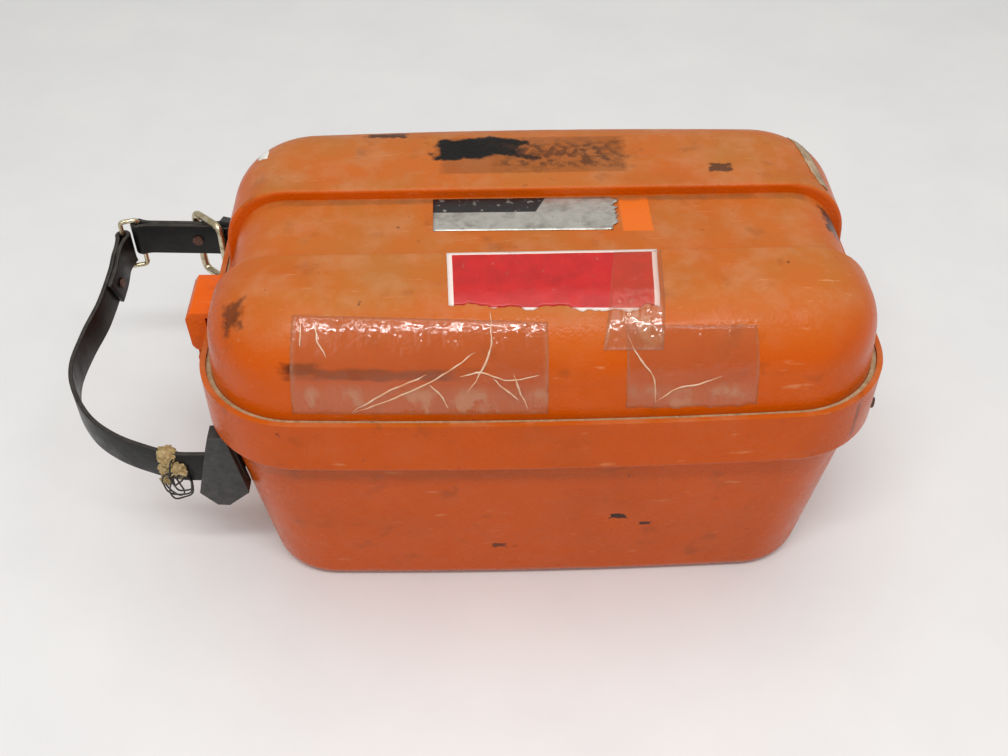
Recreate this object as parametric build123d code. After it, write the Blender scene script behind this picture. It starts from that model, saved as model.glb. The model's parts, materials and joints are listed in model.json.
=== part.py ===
"""Automatic level stowed in its moulded carrying case.

Millimetres, +Z up. The origin is on the table under the middle of the case's
tub, X runs along the case (latch end at -X, hinge end at +X) and -Y is the
front. The instrument lies inside with its line of sight along X.
"""
from build123d import *
import math
import os

# Case outline, measured outside the collar
case_length = 300.0
case_depth = 182.0
side_bow = 4.5
rim_corner = 46.0
rim_z = 124.0
collar_height = 28.0
collar_step = 5.5
collar_edge_radius = 2.5

# Tub foot
foot_length = 264.0
foot_depth = 146.0
foot_corner = 34.0
foot_bow = 3.0
foot_radius = 8.0
wall = 3.0

# Lid
lid_inset = 4.8
lid_top_z = 169.0
lid_draft = 5.0
lid_top_radius = 30.0
lid_skirt = 4.4
lid_seat_gap = 0.4
groove_y = -8.0
groove_width = 46.0
groove_depth = 5.0
groove_radius = 1.8
lid_flange_height = 3.0

# Gasket in the gap between lid and collar
seam_gap = 2.3
seam_clearance = 0.15
gasket_height = 3.6

# Hinge at the +X end
hinge_length = 40.0
hinge_pin_radius = 1.15
hinge_running_clearance = 0.05
knuckle_radius = 2.3
knuckle_count = 5
knuckle_gap = 0.2
knuckle_rim_gap = 0.2
leaf_thickness = 1.4
leaf_height = 22.0
leaf_drop = 2.5

# Latch at the -X end
latch_width = 28.0
latch_neck_width = 21.0
latch_side_gap = 0.3
latch_pin_radius = 1.5
latch_running_clearance = 0.05
latch_pin_drop = 22.5
latch_pin_out = 4.6
latch_eye_radius = 3.8
latch_proud = 10.0
latch_grip_top = 6.0
latch_grip_height = 22.0
latch_nose_thickness = 2.2
latch_nose_gap = 0.3

# Rivets
rivet_head_radius = 2.6
rivet_head_height = 1.3
rivet_shank_radius = 1.4
rivet_shank_length = 5.0
small_head_radius = 1.6
small_head_height = 0.9
small_shank_radius = 0.8
small_shank_length = 4.2
rivet_clearance = 0.05

# Carrying strap and its fittings
strap_width = 17.6
strap_thickness = 2.4
anchor_y = 58.0
short_strap_z = 110.0
eye_plate_width = 15.0
eye_plate_thickness = 1.6
eye_reach = 8.0
eye_bar_radius = 1.6
eye_arm_thickness = 2.4
eye_slack = 0.4
loop_clearance = 0.35
short_strap_end = (-199.5, 63.0)
short_rivet_share = 0.33
ring_slack = 0.3
keeper_height = 39.0
keeper_width = 24.0
keeper_wire_radius = 1.9
keeper_corner = 3.9
keeper_share = 0.2
keeper_turn = -40.0
link_height = 30.0
link_width = 11.0
link_wire_radius = 1.2
link_corner = 2.0
link_turn = 14.0
long_strap_z = 104.5
tail_length = 28.0
tail_rivet_run = 18.0
clamp_y = -61.5
clamp_thickness = 8.0
clamp_sheet = 1.6
clamp_flange_y = 50.0
clamp_flange_z = 75.0
clamp_flange_height = 26.0
clamp_rivet_spacing = 16.0

# Repair on the long strap beside the clamp
tape_start = -176.0
tape_end = -164.0
tape_thickness = 1.1
wire_radius = 0.6
wire_loop_radius = 14.0

# Hand-chosen route of the long strap, after the link ring and before the clamp
long_strap_route = [
    (-209.0, 52.5, 102.0),
    (-210.5, 43.0, 96.5),
    (-214.5, 27.0, 89.0),
    (-220.5, 10.0, 82.5),
    (-222.5, -8.0, 79.5),
    (-218.5, -23.0, 77.0),
    (-208.5, -38.0, 74.0),
    (-195.0, -48.5, 72.5),
    (-179.0, -56.0, 72.0),
    (-167.0, -59.6, 71.6),
]
clamp_strap_z = 71.5
clamp_strap_start = -157.0
clamp_strap_end = -143.5

# Cradle that holds the instrument
cradle_clearance = 0.8
cradle_top = 62.0
cradle_floor = 9.0
well_radius = 58.0
saddle_width = 22.0
saddle_depth = 74.0
saddle_top = 92.0
saddle_clearance = 0.6

# Instrument
plate_radius = 50.0
plate_thickness = 5.0
tripod_thread_radius = 7.94
foot_screw_circle = 36.0
foot_screw_stem = 4.0
foot_screw_head = 10.5
foot_screw_head_height = 10.0
foot_screw_clearance = 0.05
screw_seat_depth = 1.5
tribrach_gap = 19.0
tribrach_thickness = 10.0
tribrach_hub = 27.0
circle_radius = 34.0
circle_height = 12.0
part_gap = 0.3
sight_height = 91.0
tube_radius = 23.0
tube_wall = 2.5
objective_x = -112.0
housing_front_x = -44.0
housing_rear_x = 46.0
housing_depth = 58.0
housing_height = 68.0
housing_wall = 3.0
ocular_radius = 17.0
ocular_x = 84.0
dioptre_radius = 15.0
dioptre_length = 16.0
focus_knob_radius = 15.0
focus_knob_length = 14.0
focus_x = 20.0
shaft_radius = 2.5
shaft_clearance = 0.05
tangent_x = 6.0
tangent_drop = 26.5
tangent_knob_radius = 8.0
tangent_knob_length = 12.0
flute_count = 18
flute_radius = 1.2
lens_radius = 19.0
lens_thickness = 6.0
focus_travel = 9.0
vial_x = -22.0
vial_radius = 11.0
vial_height = 9.0
vial_wall = 1.8
vial_floor = 2.0
vial_glass_height = 4.8
focus_ring_wall = 4.0
carriage_x = -70.0
reticle_x = 60.0
reticle_thickness = 2.0
eyepiece_bore = 8.0
pendulum_x = 4.0
pendulum_drop = 9.0
pivot_radius = 1.5
pivot_clearance = 0.05
pivot_half_length = 26.2
pad_gap = 0.6
pad_length = 110.0

os.makedirs("parts", exist_ok=True)

shoulder_z = rim_z - collar_height
step_z = rim_z - lid_skirt - lid_seat_gap
lid_flange_z = rim_z + lid_flange_height
end_x = case_length / 2
lap = strap_thickness / 2


def save(shape, node):
    """Write one named piece."""
    export_step(shape, f"parts/{node}.step")


def outline(length, depth, corner, bow):
    """Rounded rectangle whose two long sides bulge outwards by bow."""
    x = length / 2
    y = depth / 2 - bow
    sides = [
        ThreePointArc((-x, -y), (0, -y - bow), (x, -y)),
        Line((x, -y), (x, y)),
        ThreePointArc((x, y), (0, y + bow), (-x, y)),
        Line((-x, y), (-x, -y)),
    ]
    face = make_face(sides)
    return fillet(face.vertices(), corner)


def tapered(low, low_z, high, high_z):
    """Solid between two outlines at two heights."""
    return loft([Pos(0, 0, low_z) * low, Pos(0, 0, high_z) * high], ruled=True)


def collar_outline(inset):
    """Outline of the collar, moved inwards by inset."""
    return outline(case_length - 2 * inset, case_depth - 2 * inset, rim_corner - inset, side_bow)


def foot_outline(inset):
    """Outline of the tub's foot, moved inwards by inset."""
    return outline(foot_length - 2 * inset, foot_depth - 2 * inset, foot_corner - inset, foot_bow)


def edges_at(shape, z):
    """Edges of a shape that lie flat at one height."""
    return [e for e in shape.edges() if abs(e.bounding_box().min.Z - z) < 0.01
            and abs(e.bounding_box().max.Z - z) < 0.01]


# Places on the case's ends

def corner_centre(length, depth, corner, bow):
    """Centre of an outline's rounded corner, where the bowed side meets the end."""
    side_radius = ((length / 2) ** 2 + bow ** 2) / (2 * bow)
    x = length / 2 - corner
    y = depth / 2 - side_radius + math.sqrt((side_radius - corner) ** 2 - x ** 2)
    return x, y


def corner_turn(y, centre_y, corner):
    """Angle on a corner's arc at a distance y off the middle line."""
    return math.asin((y - centre_y) / corner)


def corner_point(side_x, side_y):
    """Point and outward angle of the collar's rounded corner at the strap anchors."""
    centre_x, centre_y = corner_centre(case_length, case_depth, rim_corner, side_bow)
    turn = corner_turn(anchor_y, centre_y, rim_corner)
    x = side_x * (centre_x + rim_corner * math.cos(turn))
    y = side_y * anchor_y
    angle = math.degrees(math.atan2(side_y * math.sin(turn), side_x * math.cos(turn)))
    return x, y, angle


def on_corner(side_x, side_y, z):
    """Place on the collar's corner: local X points straight out of the wall."""
    x, y, angle = corner_point(side_x, side_y)
    return Pos(x, y, z) * Rot(0, 0, angle)


def domed_rivet(seat, head_radius, head_height, shank_radius, shank_length):
    """Rivet whose head stands on the seat's local YZ plane and whose shank runs inwards."""
    dome = Cylinder(head_radius, head_height, align=(Align.CENTER, Align.CENTER, Align.MIN))
    dome = fillet(dome.edges().sort_by(Axis.Z)[-1], head_height * 0.8)
    shank = Pos(0, 0, -shank_length) * Cylinder(
        shank_radius, shank_length, align=(Align.CENTER, Align.CENTER, Align.MIN))
    return seat * Rot(0, 90, 0) * (dome + shank)


def rivet(seat):
    """Rivet of the straps' fittings and the case."""
    return domed_rivet(seat, rivet_head_radius, rivet_head_height, rivet_shank_radius, rivet_shank_length)


def small_rivet(seat):
    """Rivet of the hinge's leaf on the lid."""
    return domed_rivet(seat, small_head_radius, small_head_height, small_shank_radius, small_shank_length)


def shank_hole(seat, shank_radius, shank_length):
    """Hole for a shank, from the seat inwards."""
    depth = shank_length + rivet_clearance
    hole = Cylinder(shank_radius + rivet_clearance, depth + 1, align=(Align.CENTER, Align.CENTER, Align.MIN))
    return seat * Rot(0, 90, 0) * (Pos(0, 0, -depth) * hole)


def rivet_hole(seat):
    """Hole for the shank of a rivet."""
    return shank_hole(seat, rivet_shank_radius, rivet_shank_length)


def small_rivet_hole(seat):
    """Hole for the shank of a small rivet."""
    return shank_hole(seat, small_shank_radius, small_shank_length)


# Seats of the rivets that enter the tub
eye_seats = [on_corner(-1, 1, short_strap_z) * Pos(eye_plate_thickness, side * eye_plate_width * 0.31, 0)
             for side in (-1, 1)]
end_rivet_z = shoulder_z + 5
end_rivet_seats = [on_corner(1, side, end_rivet_z) for side in (-1, 1)]
leaf_top = rim_z - leaf_drop
leaf_rivet_z = leaf_top - leaf_height / 2
leaf_seats = [Pos(end_x + leaf_thickness, groove_y + k * hinge_length * 0.35, leaf_rivet_z) for k in (-1, 0, 1)]


def tub_level(z):
    """Outline of the tub's outside at a height under the collar, with a margin in."""
    share = z / shoulder_z
    top_length = case_length - 2 * collar_step
    top_depth = case_depth - 2 * collar_step
    length = foot_length + share * (top_length - foot_length)
    depth = foot_depth + share * (top_depth - foot_depth)
    corner = foot_corner + share * (rim_corner - collar_step - foot_corner)
    bow = foot_bow + share * (side_bow - foot_bow)
    return length, depth, corner, bow


def tub_outline(z, inset):
    """Outline of the tub at a height, moved inwards by inset."""
    length, depth, corner, bow = tub_level(z)
    return outline(length - 2 * inset, depth - 2 * inset, corner - inset, bow)


def tub_corner(z, y):
    """X and arc angle of the tub's rounded corner at a height, a distance y off the middle line."""
    length, depth, corner, bow = tub_level(z)
    centre_x, centre_y = corner_centre(length, depth, corner, bow)
    turn = corner_turn(y, centre_y, corner)
    return centre_x + corner * math.cos(turn), turn


def tub_lean(turn):
    """Angle by which the tub's wall leans outwards on the corner, for one arc angle."""
    reach = []
    for z in (0, shoulder_z):
        length, depth, corner, bow = tub_level(z)
        centre_x, centre_y = corner_centre(length, depth, corner, bow)
        reach.append(centre_x * math.cos(turn) + centre_y * math.sin(turn) + corner)
    return math.degrees(math.atan((reach[1] - reach[0]) / shoulder_z))


def on_tub_corner(side_x, side_y, y, z):
    """Place on the tub's leaning corner under the collar, local X square out of the wall."""
    x, turn = tub_corner(z, y)
    angle = math.degrees(math.atan2(side_y * math.sin(turn), side_x * math.cos(turn)))
    return Pos(side_x * x, side_y * y, z) * Rot(0, 0, angle) * Rot(0, tub_lean(turn), 0)


clamp_seat = on_tub_corner(-1, -1, clamp_flange_y, clamp_flange_z)
clamp_seats = [clamp_seat * Pos(clamp_sheet, 0, k * clamp_rivet_spacing / 2) for k in (-1, 1)]

# Latch places
latch_pin_x = -end_x - latch_pin_out
latch_pin_z = rim_z - latch_pin_drop


def latch_ear(y):
    """Moulded ear on the collar that carries one end of the latch pin."""
    thickness = (latch_width - latch_neck_width) / 2 - latch_side_gap
    low = shoulder_z + 1.0
    tip = latch_pin_x - 3.2
    high = latch_pin_z + 4.2
    profile = Plane.XZ * make_face(Polyline(
        (-end_x + 1, low), (latch_pin_x, latch_pin_z - 3.6), (tip, latch_pin_z - 1.5),
        (tip, latch_pin_z + 2.0), (latch_pin_x + 1.0, high), (-end_x + 1, high + 1), close=True))
    ear = Pos(0, y, 0) * extrude(profile, amount=thickness / 2, both=True)
    return ear


def base_tub():
    """Tapered tub with its flared collar, the step that seats the lid and the latch ears."""
    body = tapered(foot_outline(0), 0, tub_outline(shoulder_z, 0), shoulder_z)
    body = fillet(edges_at(body, 0), foot_radius)
    collar = extrude(Pos(0, 0, shoulder_z) * collar_outline(0), collar_height)
    collar = fillet(edges_at(collar, shoulder_z), collar_edge_radius)
    ear_y = (latch_neck_width + (latch_width - latch_neck_width) / 2 + latch_side_gap) / 2
    ears = latch_ear(groove_y - ear_y) + latch_ear(groove_y + ear_y)
    bore = Pos(latch_pin_x, groove_y, latch_pin_z) * Rot(90, 0, 0) * Cylinder(
        latch_pin_radius + 0.02, latch_width + 2)
    hollow = tapered(tub_outline(wall, wall), wall, tub_outline(shoulder_z, wall), shoulder_z)
    hollow += extrude(Pos(0, 0, shoulder_z) * tub_outline(shoulder_z, wall), step_z - shoulder_z)
    recess = extrude(Pos(0, 0, step_z) * collar_outline(lid_inset - seam_gap), rim_z - step_z)
    tub = body + collar + (ears - bore) - hollow - recess
    for seat in eye_seats + end_rivet_seats + leaf_seats + clamp_seats:
        tub -= rivet_hole(seat)
    return tub


# Lid

def lid_form(inset, bottom_z):
    """Outside form of the lid moved inwards by inset, from bottom_z up."""
    top_z = lid_top_z - inset
    lean = math.tan(math.radians(lid_draft)) * (top_z - rim_z)
    skirt = extrude(Pos(0, 0, bottom_z) * collar_outline(lid_inset + inset), rim_z - bottom_z)
    crown = tapered(collar_outline(lid_inset + inset), rim_z, collar_outline(lid_inset + inset + lean), top_z)
    crown = fillet(edges_at(crown, top_z), lid_top_radius - inset)
    return skirt + crown


def groove_slab(width, bottom_z):
    """Block as wide as the groove, right across the lid from bottom_z up."""
    height = lid_top_z + 5 - bottom_z
    return Pos(0, groove_y, bottom_z + height / 2) * Box(case_length + 20, width, height)


def grooved(inset, width, bottom_z, floor_z):
    """Lid form with the groove's floor sunk in it."""
    form = lid_form(inset, bottom_z)
    sunk = lid_form(inset + groove_depth, bottom_z)
    slab = groove_slab(width, floor_z)
    return (form - slab) + (sunk & slab)


def lid_shell():
    """Domed lid with the groove across its top and down both ends."""
    bottom = rim_z - lid_skirt
    outside = grooved(0, groove_width, bottom, lid_flange_z)
    lips = []
    for edge in outside.edges():
        box = edge.bounding_box()
        on_wall = abs(abs(box.center().Y - groove_y) - groove_width / 2) < 0.01 and box.size.Y < 0.01
        if on_wall and box.size.X > 20 and box.max.Z > lid_top_z - 1:
            lips.append(edge)
    outside = fillet(lips, groove_radius)
    inside = grooved(wall, groove_width + 2 * wall, bottom - 1, rim_z)
    shell = outside - inside
    for seat in lid_leaf_seats:
        shell -= small_rivet_hole(seat)
    return shell


def seam_gasket():
    """Flat gasket lying in the gap between the lid's wall and the collar."""
    outer = collar_outline(lid_inset - seam_gap + seam_clearance)
    inner = collar_outline(lid_inset - seam_clearance)
    return extrude(Pos(0, 0, step_z) * (outer - inner), gasket_height)


# Hinge

hinge_x = end_x - 1.5
hinge_z = rim_z + knuckle_rim_gap + knuckle_radius
knuckle_pitch = hinge_length / knuckle_count
hinge_start = groove_y - hinge_length / 2


def knuckle(index):
    """One rolled knuckle of the hinge, bored for the pin."""
    y = hinge_start + (index + 0.5) * knuckle_pitch
    length = knuckle_pitch - knuckle_gap
    place = Pos(hinge_x, y, hinge_z) * Rot(90, 0, 0)
    return place * Cylinder(knuckle_radius, length)


def hinge_bore():
    """Bore through all knuckles."""
    radius = hinge_pin_radius + hinge_running_clearance
    return Pos(hinge_x, groove_y, hinge_z) * Rot(90, 0, 0) * Cylinder(radius, hinge_length + 2)


def hinge_base_leaf():
    """Leaf on the collar's end, with the odd knuckles."""
    plate = Pos(end_x + leaf_thickness / 2, groove_y, leaf_top - leaf_height / 2) * Box(
        leaf_thickness, hinge_length, leaf_height)
    leaf = plate
    for index in range(0, knuckle_count, 2):
        y = hinge_start + (index + 0.5) * knuckle_pitch
        tab = Pos(end_x + leaf_thickness / 2, y, (leaf_top + hinge_z) / 2) * Box(
            leaf_thickness, knuckle_pitch - knuckle_gap, hinge_z - leaf_top)
        leaf += tab + knuckle(index)
    leaf -= hinge_bore()
    for seat in leaf_seats:
        leaf -= rivet_hole(seat)
    return leaf


lid_leaf_x = end_x - lid_inset - groove_depth + 0.4
lid_leaf_seats = [Pos(lid_leaf_x + small_head_radius + 0.4, groove_y + k * hinge_length * 0.3,
                      lid_flange_z + leaf_thickness) * Rot(0, -90, 0) for k in (-1, 1)]


def hinge_lid_leaf():
    """Leaf that lies on the lid's flange in the groove's end, with the even knuckles."""
    length = hinge_x - lid_leaf_x
    leaf = Pos(lid_leaf_x + length / 2, groove_y, lid_flange_z + leaf_thickness / 2) * Box(
        length, hinge_length, leaf_thickness)
    for index in range(0, knuckle_count, 2):
        y = hinge_start + (index + 0.5) * knuckle_pitch
        leaf -= Pos(hinge_x, y, lid_flange_z) * Box(2 * knuckle_radius + 1.6, knuckle_pitch + knuckle_gap, 6)
    for index in range(1, knuckle_count, 2):
        leaf += knuckle(index)
    leaf -= hinge_bore()
    for seat in lid_leaf_seats:
        leaf -= small_rivet_hole(seat)
    return leaf


def hinge_pin():
    """Steel pin through the knuckles, with a small head at each end."""
    pin = Cylinder(hinge_pin_radius, hinge_length + 1.0)
    for side in (-1, 1):
        pin += Pos(0, 0, side * (hinge_length / 2 + 0.5)) * Cylinder(hinge_pin_radius + 0.6, 0.8)
    return Pos(hinge_x, groove_y, hinge_z) * Rot(90, 0, 0) * pin


# Latch

def latch_lever():
    """Moulded lever: eye on the pin, neck between the ears, thumb block and nose."""
    inner = -end_x - 1.0
    outer = -end_x - latch_proud
    grip_low = rim_z - latch_grip_height + latch_grip_top
    top = lid_flange_z + latch_nose_gap + latch_nose_thickness
    nose_tip = -end_x + lid_inset - latch_nose_gap
    grip_profile = Plane.XZ * make_face(Polyline(
        (inner, grip_low), (outer + 2.2, grip_low), (outer + 0.6, grip_low + 2.5), (outer, top - 3.5),
        (outer + 2.5, top), (nose_tip - 4.0, top), (nose_tip, top - 0.8),
        (nose_tip, lid_flange_z + latch_nose_gap), (inner, lid_flange_z - 0.6), close=True))
    grip = Pos(0, groove_y, 0) * extrude(grip_profile, amount=latch_width / 2, both=True)
    long_edges = [e for e in grip.edges() if e.bounding_box().size.Y > latch_width - 1
                  and e.center().X < outer + 1.0]
    grip = fillet(long_edges, 1.0)
    neck_half = latch_eye_radius - 0.2
    neck_profile = Plane.XZ * make_face(Polyline(
        (latch_pin_x + neck_half, latch_pin_z), (latch_pin_x + neck_half, grip_low + 1),
        (latch_pin_x - neck_half, grip_low + 1), (latch_pin_x - neck_half, latch_pin_z), close=True))
    neck = Pos(0, groove_y, 0) * extrude(neck_profile, amount=latch_neck_width / 2, both=True)
    across = Pos(latch_pin_x, groove_y, latch_pin_z) * Rot(90, 0, 0)
    eye = across * Cylinder(latch_eye_radius, latch_neck_width)
    hole = across * Cylinder(latch_pin_radius + latch_running_clearance, latch_neck_width + 2)
    return grip + neck + eye - hole


def latch_pin():
    """Steel pin through ears and lever."""
    return Pos(latch_pin_x, groove_y, latch_pin_z) * Rot(90, 0, 0) * Cylinder(
        latch_pin_radius, latch_width + 0.8)


# Strap fittings at the -X end

def strap_eye():
    """Black steel plate on the rear corner of the collar, with a standing bar for the strap."""
    gap = strap_width + 2 * eye_slack
    arm_z = gap / 2 + eye_arm_thickness / 2
    plate_height = gap + 2 * eye_arm_thickness
    eye = Pos(eye_plate_thickness / 2, 0, 0) * Box(eye_plate_thickness, eye_plate_width, plate_height)
    for side in (-1, 1):
        reach = eye_reach + eye_bar_radius - eye_plate_thickness / 2
        eye += Pos(eye_plate_thickness / 2 + reach / 2, 0, side * arm_z) * Box(
            reach, 2 * eye_bar_radius + 1.0, eye_arm_thickness)
    eye += Pos(eye_reach, 0, 0) * Cylinder(eye_bar_radius, 2 * arm_z)
    eye = on_corner(-1, 1, short_strap_z) * eye
    for seat in eye_seats:
        eye -= rivet_hole(seat)
    return eye


eye_x, eye_y, eye_angle = corner_point(-1, 1)
bar_x = eye_x + eye_reach * math.cos(math.radians(eye_angle))
bar_y = eye_y + eye_reach * math.sin(math.radians(eye_angle))
strap_dx = short_strap_end[0] - bar_x
strap_dy = short_strap_end[1] - bar_y
strap_run = math.hypot(strap_dx, strap_dy)
strap_turn = math.degrees(math.atan2(strap_dy, strap_dx))
short_frame = Pos(bar_x, bar_y, short_strap_z) * Rot(0, 0, strap_turn)


def strap_loop(bar_radius):
    """Outer and inner radius of a strap folded round a bar."""
    inner = bar_radius + loop_clearance
    return inner + strap_thickness, inner


def short_strap():
    """Short strap folded at both ends: round the eye's bar and round the link ring."""
    near_out, near_in = strap_loop(eye_bar_radius)
    far_out, far_in = strap_loop(link_wire_radius)
    band = Pos(strap_run / 2, 0, 0) * Box(strap_run, 2 * strap_thickness, strap_width)
    strap = band + Cylinder(near_out, strap_width) + Pos(strap_run, 0, 0) * Cylinder(far_out, strap_width)
    strap -= Cylinder(near_in, strap_width + 2)
    strap -= Pos(strap_run, 0, 0) * Cylinder(far_in, strap_width + 2)
    hole = Pos(strap_run * short_rivet_share, 0, 0) * Rot(90, 0, 0) * Cylinder(
        rivet_shank_radius + rivet_clearance, 4 * strap_thickness)
    return short_frame * (strap - hole)


def strap_rivet(frame, thickness):
    """Tubular rivet through two layers of strap, with a flat cap on each face."""
    shank = Rot(90, 0, 0) * Cylinder(rivet_shank_radius, thickness + 1.0)
    caps = shank
    for side in (-1, 1):
        cap = Pos(0, side * (thickness / 2 + 0.55), 0) * Rot(90, 0, 0) * Cylinder(rivet_head_radius, 1.0)
        caps += cap
    return frame * caps


def wire_ring(height, width, corner, radius):
    """Ring of round wire, standing in the local XZ plane, centred."""
    path_face = Plane.XZ * RectangleRounded(width - 2 * radius, height - 2 * radius, corner)
    path = path_face.wires()[0]
    start = path @ 0
    profile = Plane(origin=start, z_dir=path % 0) * Circle(radius)
    return sweep(profile, path=path)


def hung_z(height, radius):
    """Height of a ring's centre when its top bar hangs on the short strap's upper edge."""
    return short_strap_z + strap_width / 2 + ring_slack - (height / 2 - 2 * radius)


def keeper_ring():
    """Large oval ring trapped on the short strap."""
    ring = wire_ring(keeper_height, keeper_width, keeper_corner, keeper_wire_radius)
    drop = hung_z(keeper_height, keeper_wire_radius) - short_strap_z
    return short_frame * Pos(strap_run * keeper_share, 0, drop) * Rot(0, 0, keeper_turn) * ring


link_span = link_width - 2 * link_wire_radius
link_dx = -link_span * math.cos(math.radians(link_turn))
link_dy = -link_span * math.sin(math.radians(link_turn))
far_bar = (short_strap_end[0] + link_dx, short_strap_end[1] + link_dy)


def link_ring():
    """Small rectangular wire ring that joins the two straps."""
    ring = wire_ring(link_height, link_width, link_corner, link_wire_radius)
    x = short_strap_end[0] + link_dx / 2
    y = short_strap_end[1] + link_dy / 2
    return Pos(x, y, hung_z(link_height, link_wire_radius)) * Rot(0, 0, link_turn) * ring


def smooth_points(points, steps):
    """Points along a smooth curve through the route, and its direction at each."""
    out = []
    last = len(points) - 1
    for i in range(last):
        p0 = Vector(points[max(i - 1, 0)])
        p1 = Vector(points[i])
        p2 = Vector(points[i + 1])
        p3 = Vector(points[min(i + 2, last)])
        for k in range(steps):
            t = k / steps
            out.append(0.5 * ((2 * p1) + (p2 - p0) * t + (2 * p0 - 5 * p1 + 4 * p2 - p3) * t * t
                              + (3 * p1 - p0 - 3 * p2 + p3) * t ** 3))
    out.append(Vector(points[last]))
    return out


def strap_plane(point, direction, side_shift):
    """Plane square to the strap's run: its X points outwards from the loop, its Y up."""
    across = Vector(direction.Y, -direction.X, 0).normalized()
    return Plane(origin=point + across * side_shift, x_dir=across, z_dir=direction.normalized())


def strap_band(points, thickness, width, side_shift):
    """Flat strap through the points, made of short ruled spans."""
    faces = []
    last = len(points) - 1
    for i, point in enumerate(points):
        direction = points[min(i + 1, last)] - points[max(i - 1, 0)]
        faces.append(strap_plane(point, direction, side_shift) * Rectangle(thickness, width))
    return loft(faces, ruled=True)


route = [(far_bar[0], far_bar[1], long_strap_z)] + long_strap_route
route += [(clamp_strap_start, clamp_y + lap, clamp_strap_z), (clamp_strap_end, clamp_y + lap, clamp_strap_z)]
route_points = smooth_points(route, 2)


def route_until(length):
    """First points of the route, up to a length along it."""
    kept = [route_points[0]]
    run = 0.0
    for here, there in zip(route_points, route_points[1:]):
        run += (there - here).length
        kept.append(there)
        if run >= length:
            break
    return kept


tail_points = route_until(tail_length)
tail_rivet_points = route_until(tail_rivet_run)
tail_rivet_plane = strap_plane(tail_rivet_points[-1], tail_rivet_points[-1] - tail_rivet_points[-3], 0)
tail_rivet_frame = tail_rivet_plane.location * Rot(0, 0, 90)


def long_strap():
    """Long strap: folded round the link ring, its tail lapped inside the loop, its end in the clamp."""
    out_radius, in_radius = strap_loop(link_wire_radius)
    main = strap_band(route_points, strap_thickness, strap_width, lap)
    tail = strap_band(tail_points, strap_thickness, strap_width, -lap)
    fold = Pos(far_bar[0], far_bar[1], long_strap_z) * Cylinder(out_radius, strap_width)
    hole = Pos(far_bar[0], far_bar[1], long_strap_z) * Cylinder(in_radius, strap_width + 12)
    rivet_bore = tail_rivet_frame * Rot(90, 0, 0) * Cylinder(rivet_shank_radius + rivet_clearance, 4 * strap_thickness)
    return main + tail + fold - hole - rivet_bore


def strap_clamp():
    """Black sheet folded round the strap's end, with a flange riveted to the tub's corner."""
    wall_y = -clamp_y - clamp_thickness / 2
    wall_gap = 0.4
    low_z = 57.0
    high_z = 94.0
    low_x = -tub_corner(low_z, wall_y)[0] - wall_gap
    high_x = -tub_corner(high_z, wall_y)[0] - wall_gap
    profile = Plane.XZ * make_face(Polyline(
        (-149.0, high_z), (-151.0, 87.0), (-158.5, 57.5), (-151.5, 49.0), (-146.0, 48.5),
        (low_x, low_z), (high_x, high_z), close=True))
    block = Pos(0, clamp_y, 0) * extrude(profile, amount=clamp_thickness / 2, both=True)
    slot_width = strap_thickness + 2 * loop_clearance
    slot_end = clamp_strap_end + 2.5
    slot = Pos(slot_end - 10, clamp_y, clamp_strap_z) * Box(20.0, slot_width, strap_width + 0.8)
    flange_low = -8.0
    flange_high = 12.0
    flange = clamp_seat * Pos(clamp_sheet / 2, (flange_low + flange_high) / 2, 0) * Box(
        clamp_sheet, flange_high - flange_low, clamp_flange_height)
    clamp = block - slot + flange
    for seat in clamp_seats:
        clamp -= rivet_hole(seat)
    return clamp


tape_points = [p for p in route_points if tape_start - 4 < p.X < tape_end + 4 and p.Y < 0]


def repair_tape():
    """Tape wound round the strap beside the clamp."""
    gap = ring_slack
    inner = strap_band(tape_points, strap_thickness + 2 * gap, strap_width + 2 * gap, lap)
    thick = 2 * (gap + tape_thickness)
    outer = strap_band(tape_points, strap_thickness + thick, strap_width + thick, lap)
    middle = (tape_start + tape_end) / 2
    window = Pos(middle, clamp_y, clamp_strap_z) * Box(tape_end - tape_start, 40, 60)
    return (outer - inner) & window


def repair_wire():
    """Loop of thin wire hung over the tape."""
    here = tape_points[len(tape_points) // 2]
    top = strap_width / 2 + ring_slack + tape_thickness + ring_slack
    plane = strap_plane(here, tape_points[-1] - tape_points[0], lap)
    drop = wire_loop_radius - wire_radius - top
    return plane.location * Pos(0, -drop, 0) * Torus(wire_loop_radius, wire_radius)


# Cradle, pad and instrument

def cradle():
    """Moulded insert with a round well for the base and two saddles for the telescope."""
    inset = wall + cradle_clearance
    low = wall + 0.3
    body = tapered(tub_outline(low, inset), low, tub_outline(cradle_top, inset), cradle_top)
    for x, radius in ((objective_x + 23, tube_radius), (ocular_x - 8, ocular_radius)):
        post = Pos(x, 0, (cradle_top + saddle_top) / 2) * Box(saddle_width, saddle_depth, saddle_top - cradle_top)
        notch = Pos(x, 0, sight_height) * Rot(0, 90, 0) * Cylinder(radius + saddle_clearance, saddle_width + 2)
        above = Pos(x, 0, sight_height + radius) * Box(saddle_width + 2, 2 * (radius + saddle_clearance), 2 * radius)
        body += post - notch - above
    well = Pos(0, 0, (cradle_floor + cradle_top) / 2 + 1) * Cylinder(well_radius, cradle_top - cradle_floor + 2)
    return body - well


plate_top = cradle_floor + plate_thickness
tribrach_low = plate_top + tribrach_gap
tribrach_top = tribrach_low + tribrach_thickness
circle_low = tribrach_top + part_gap
circle_top = circle_low + circle_height
housing_low = circle_top + part_gap
housing_top = housing_low + housing_height
foot_screw_angles = (90, 210, 330)


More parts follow.
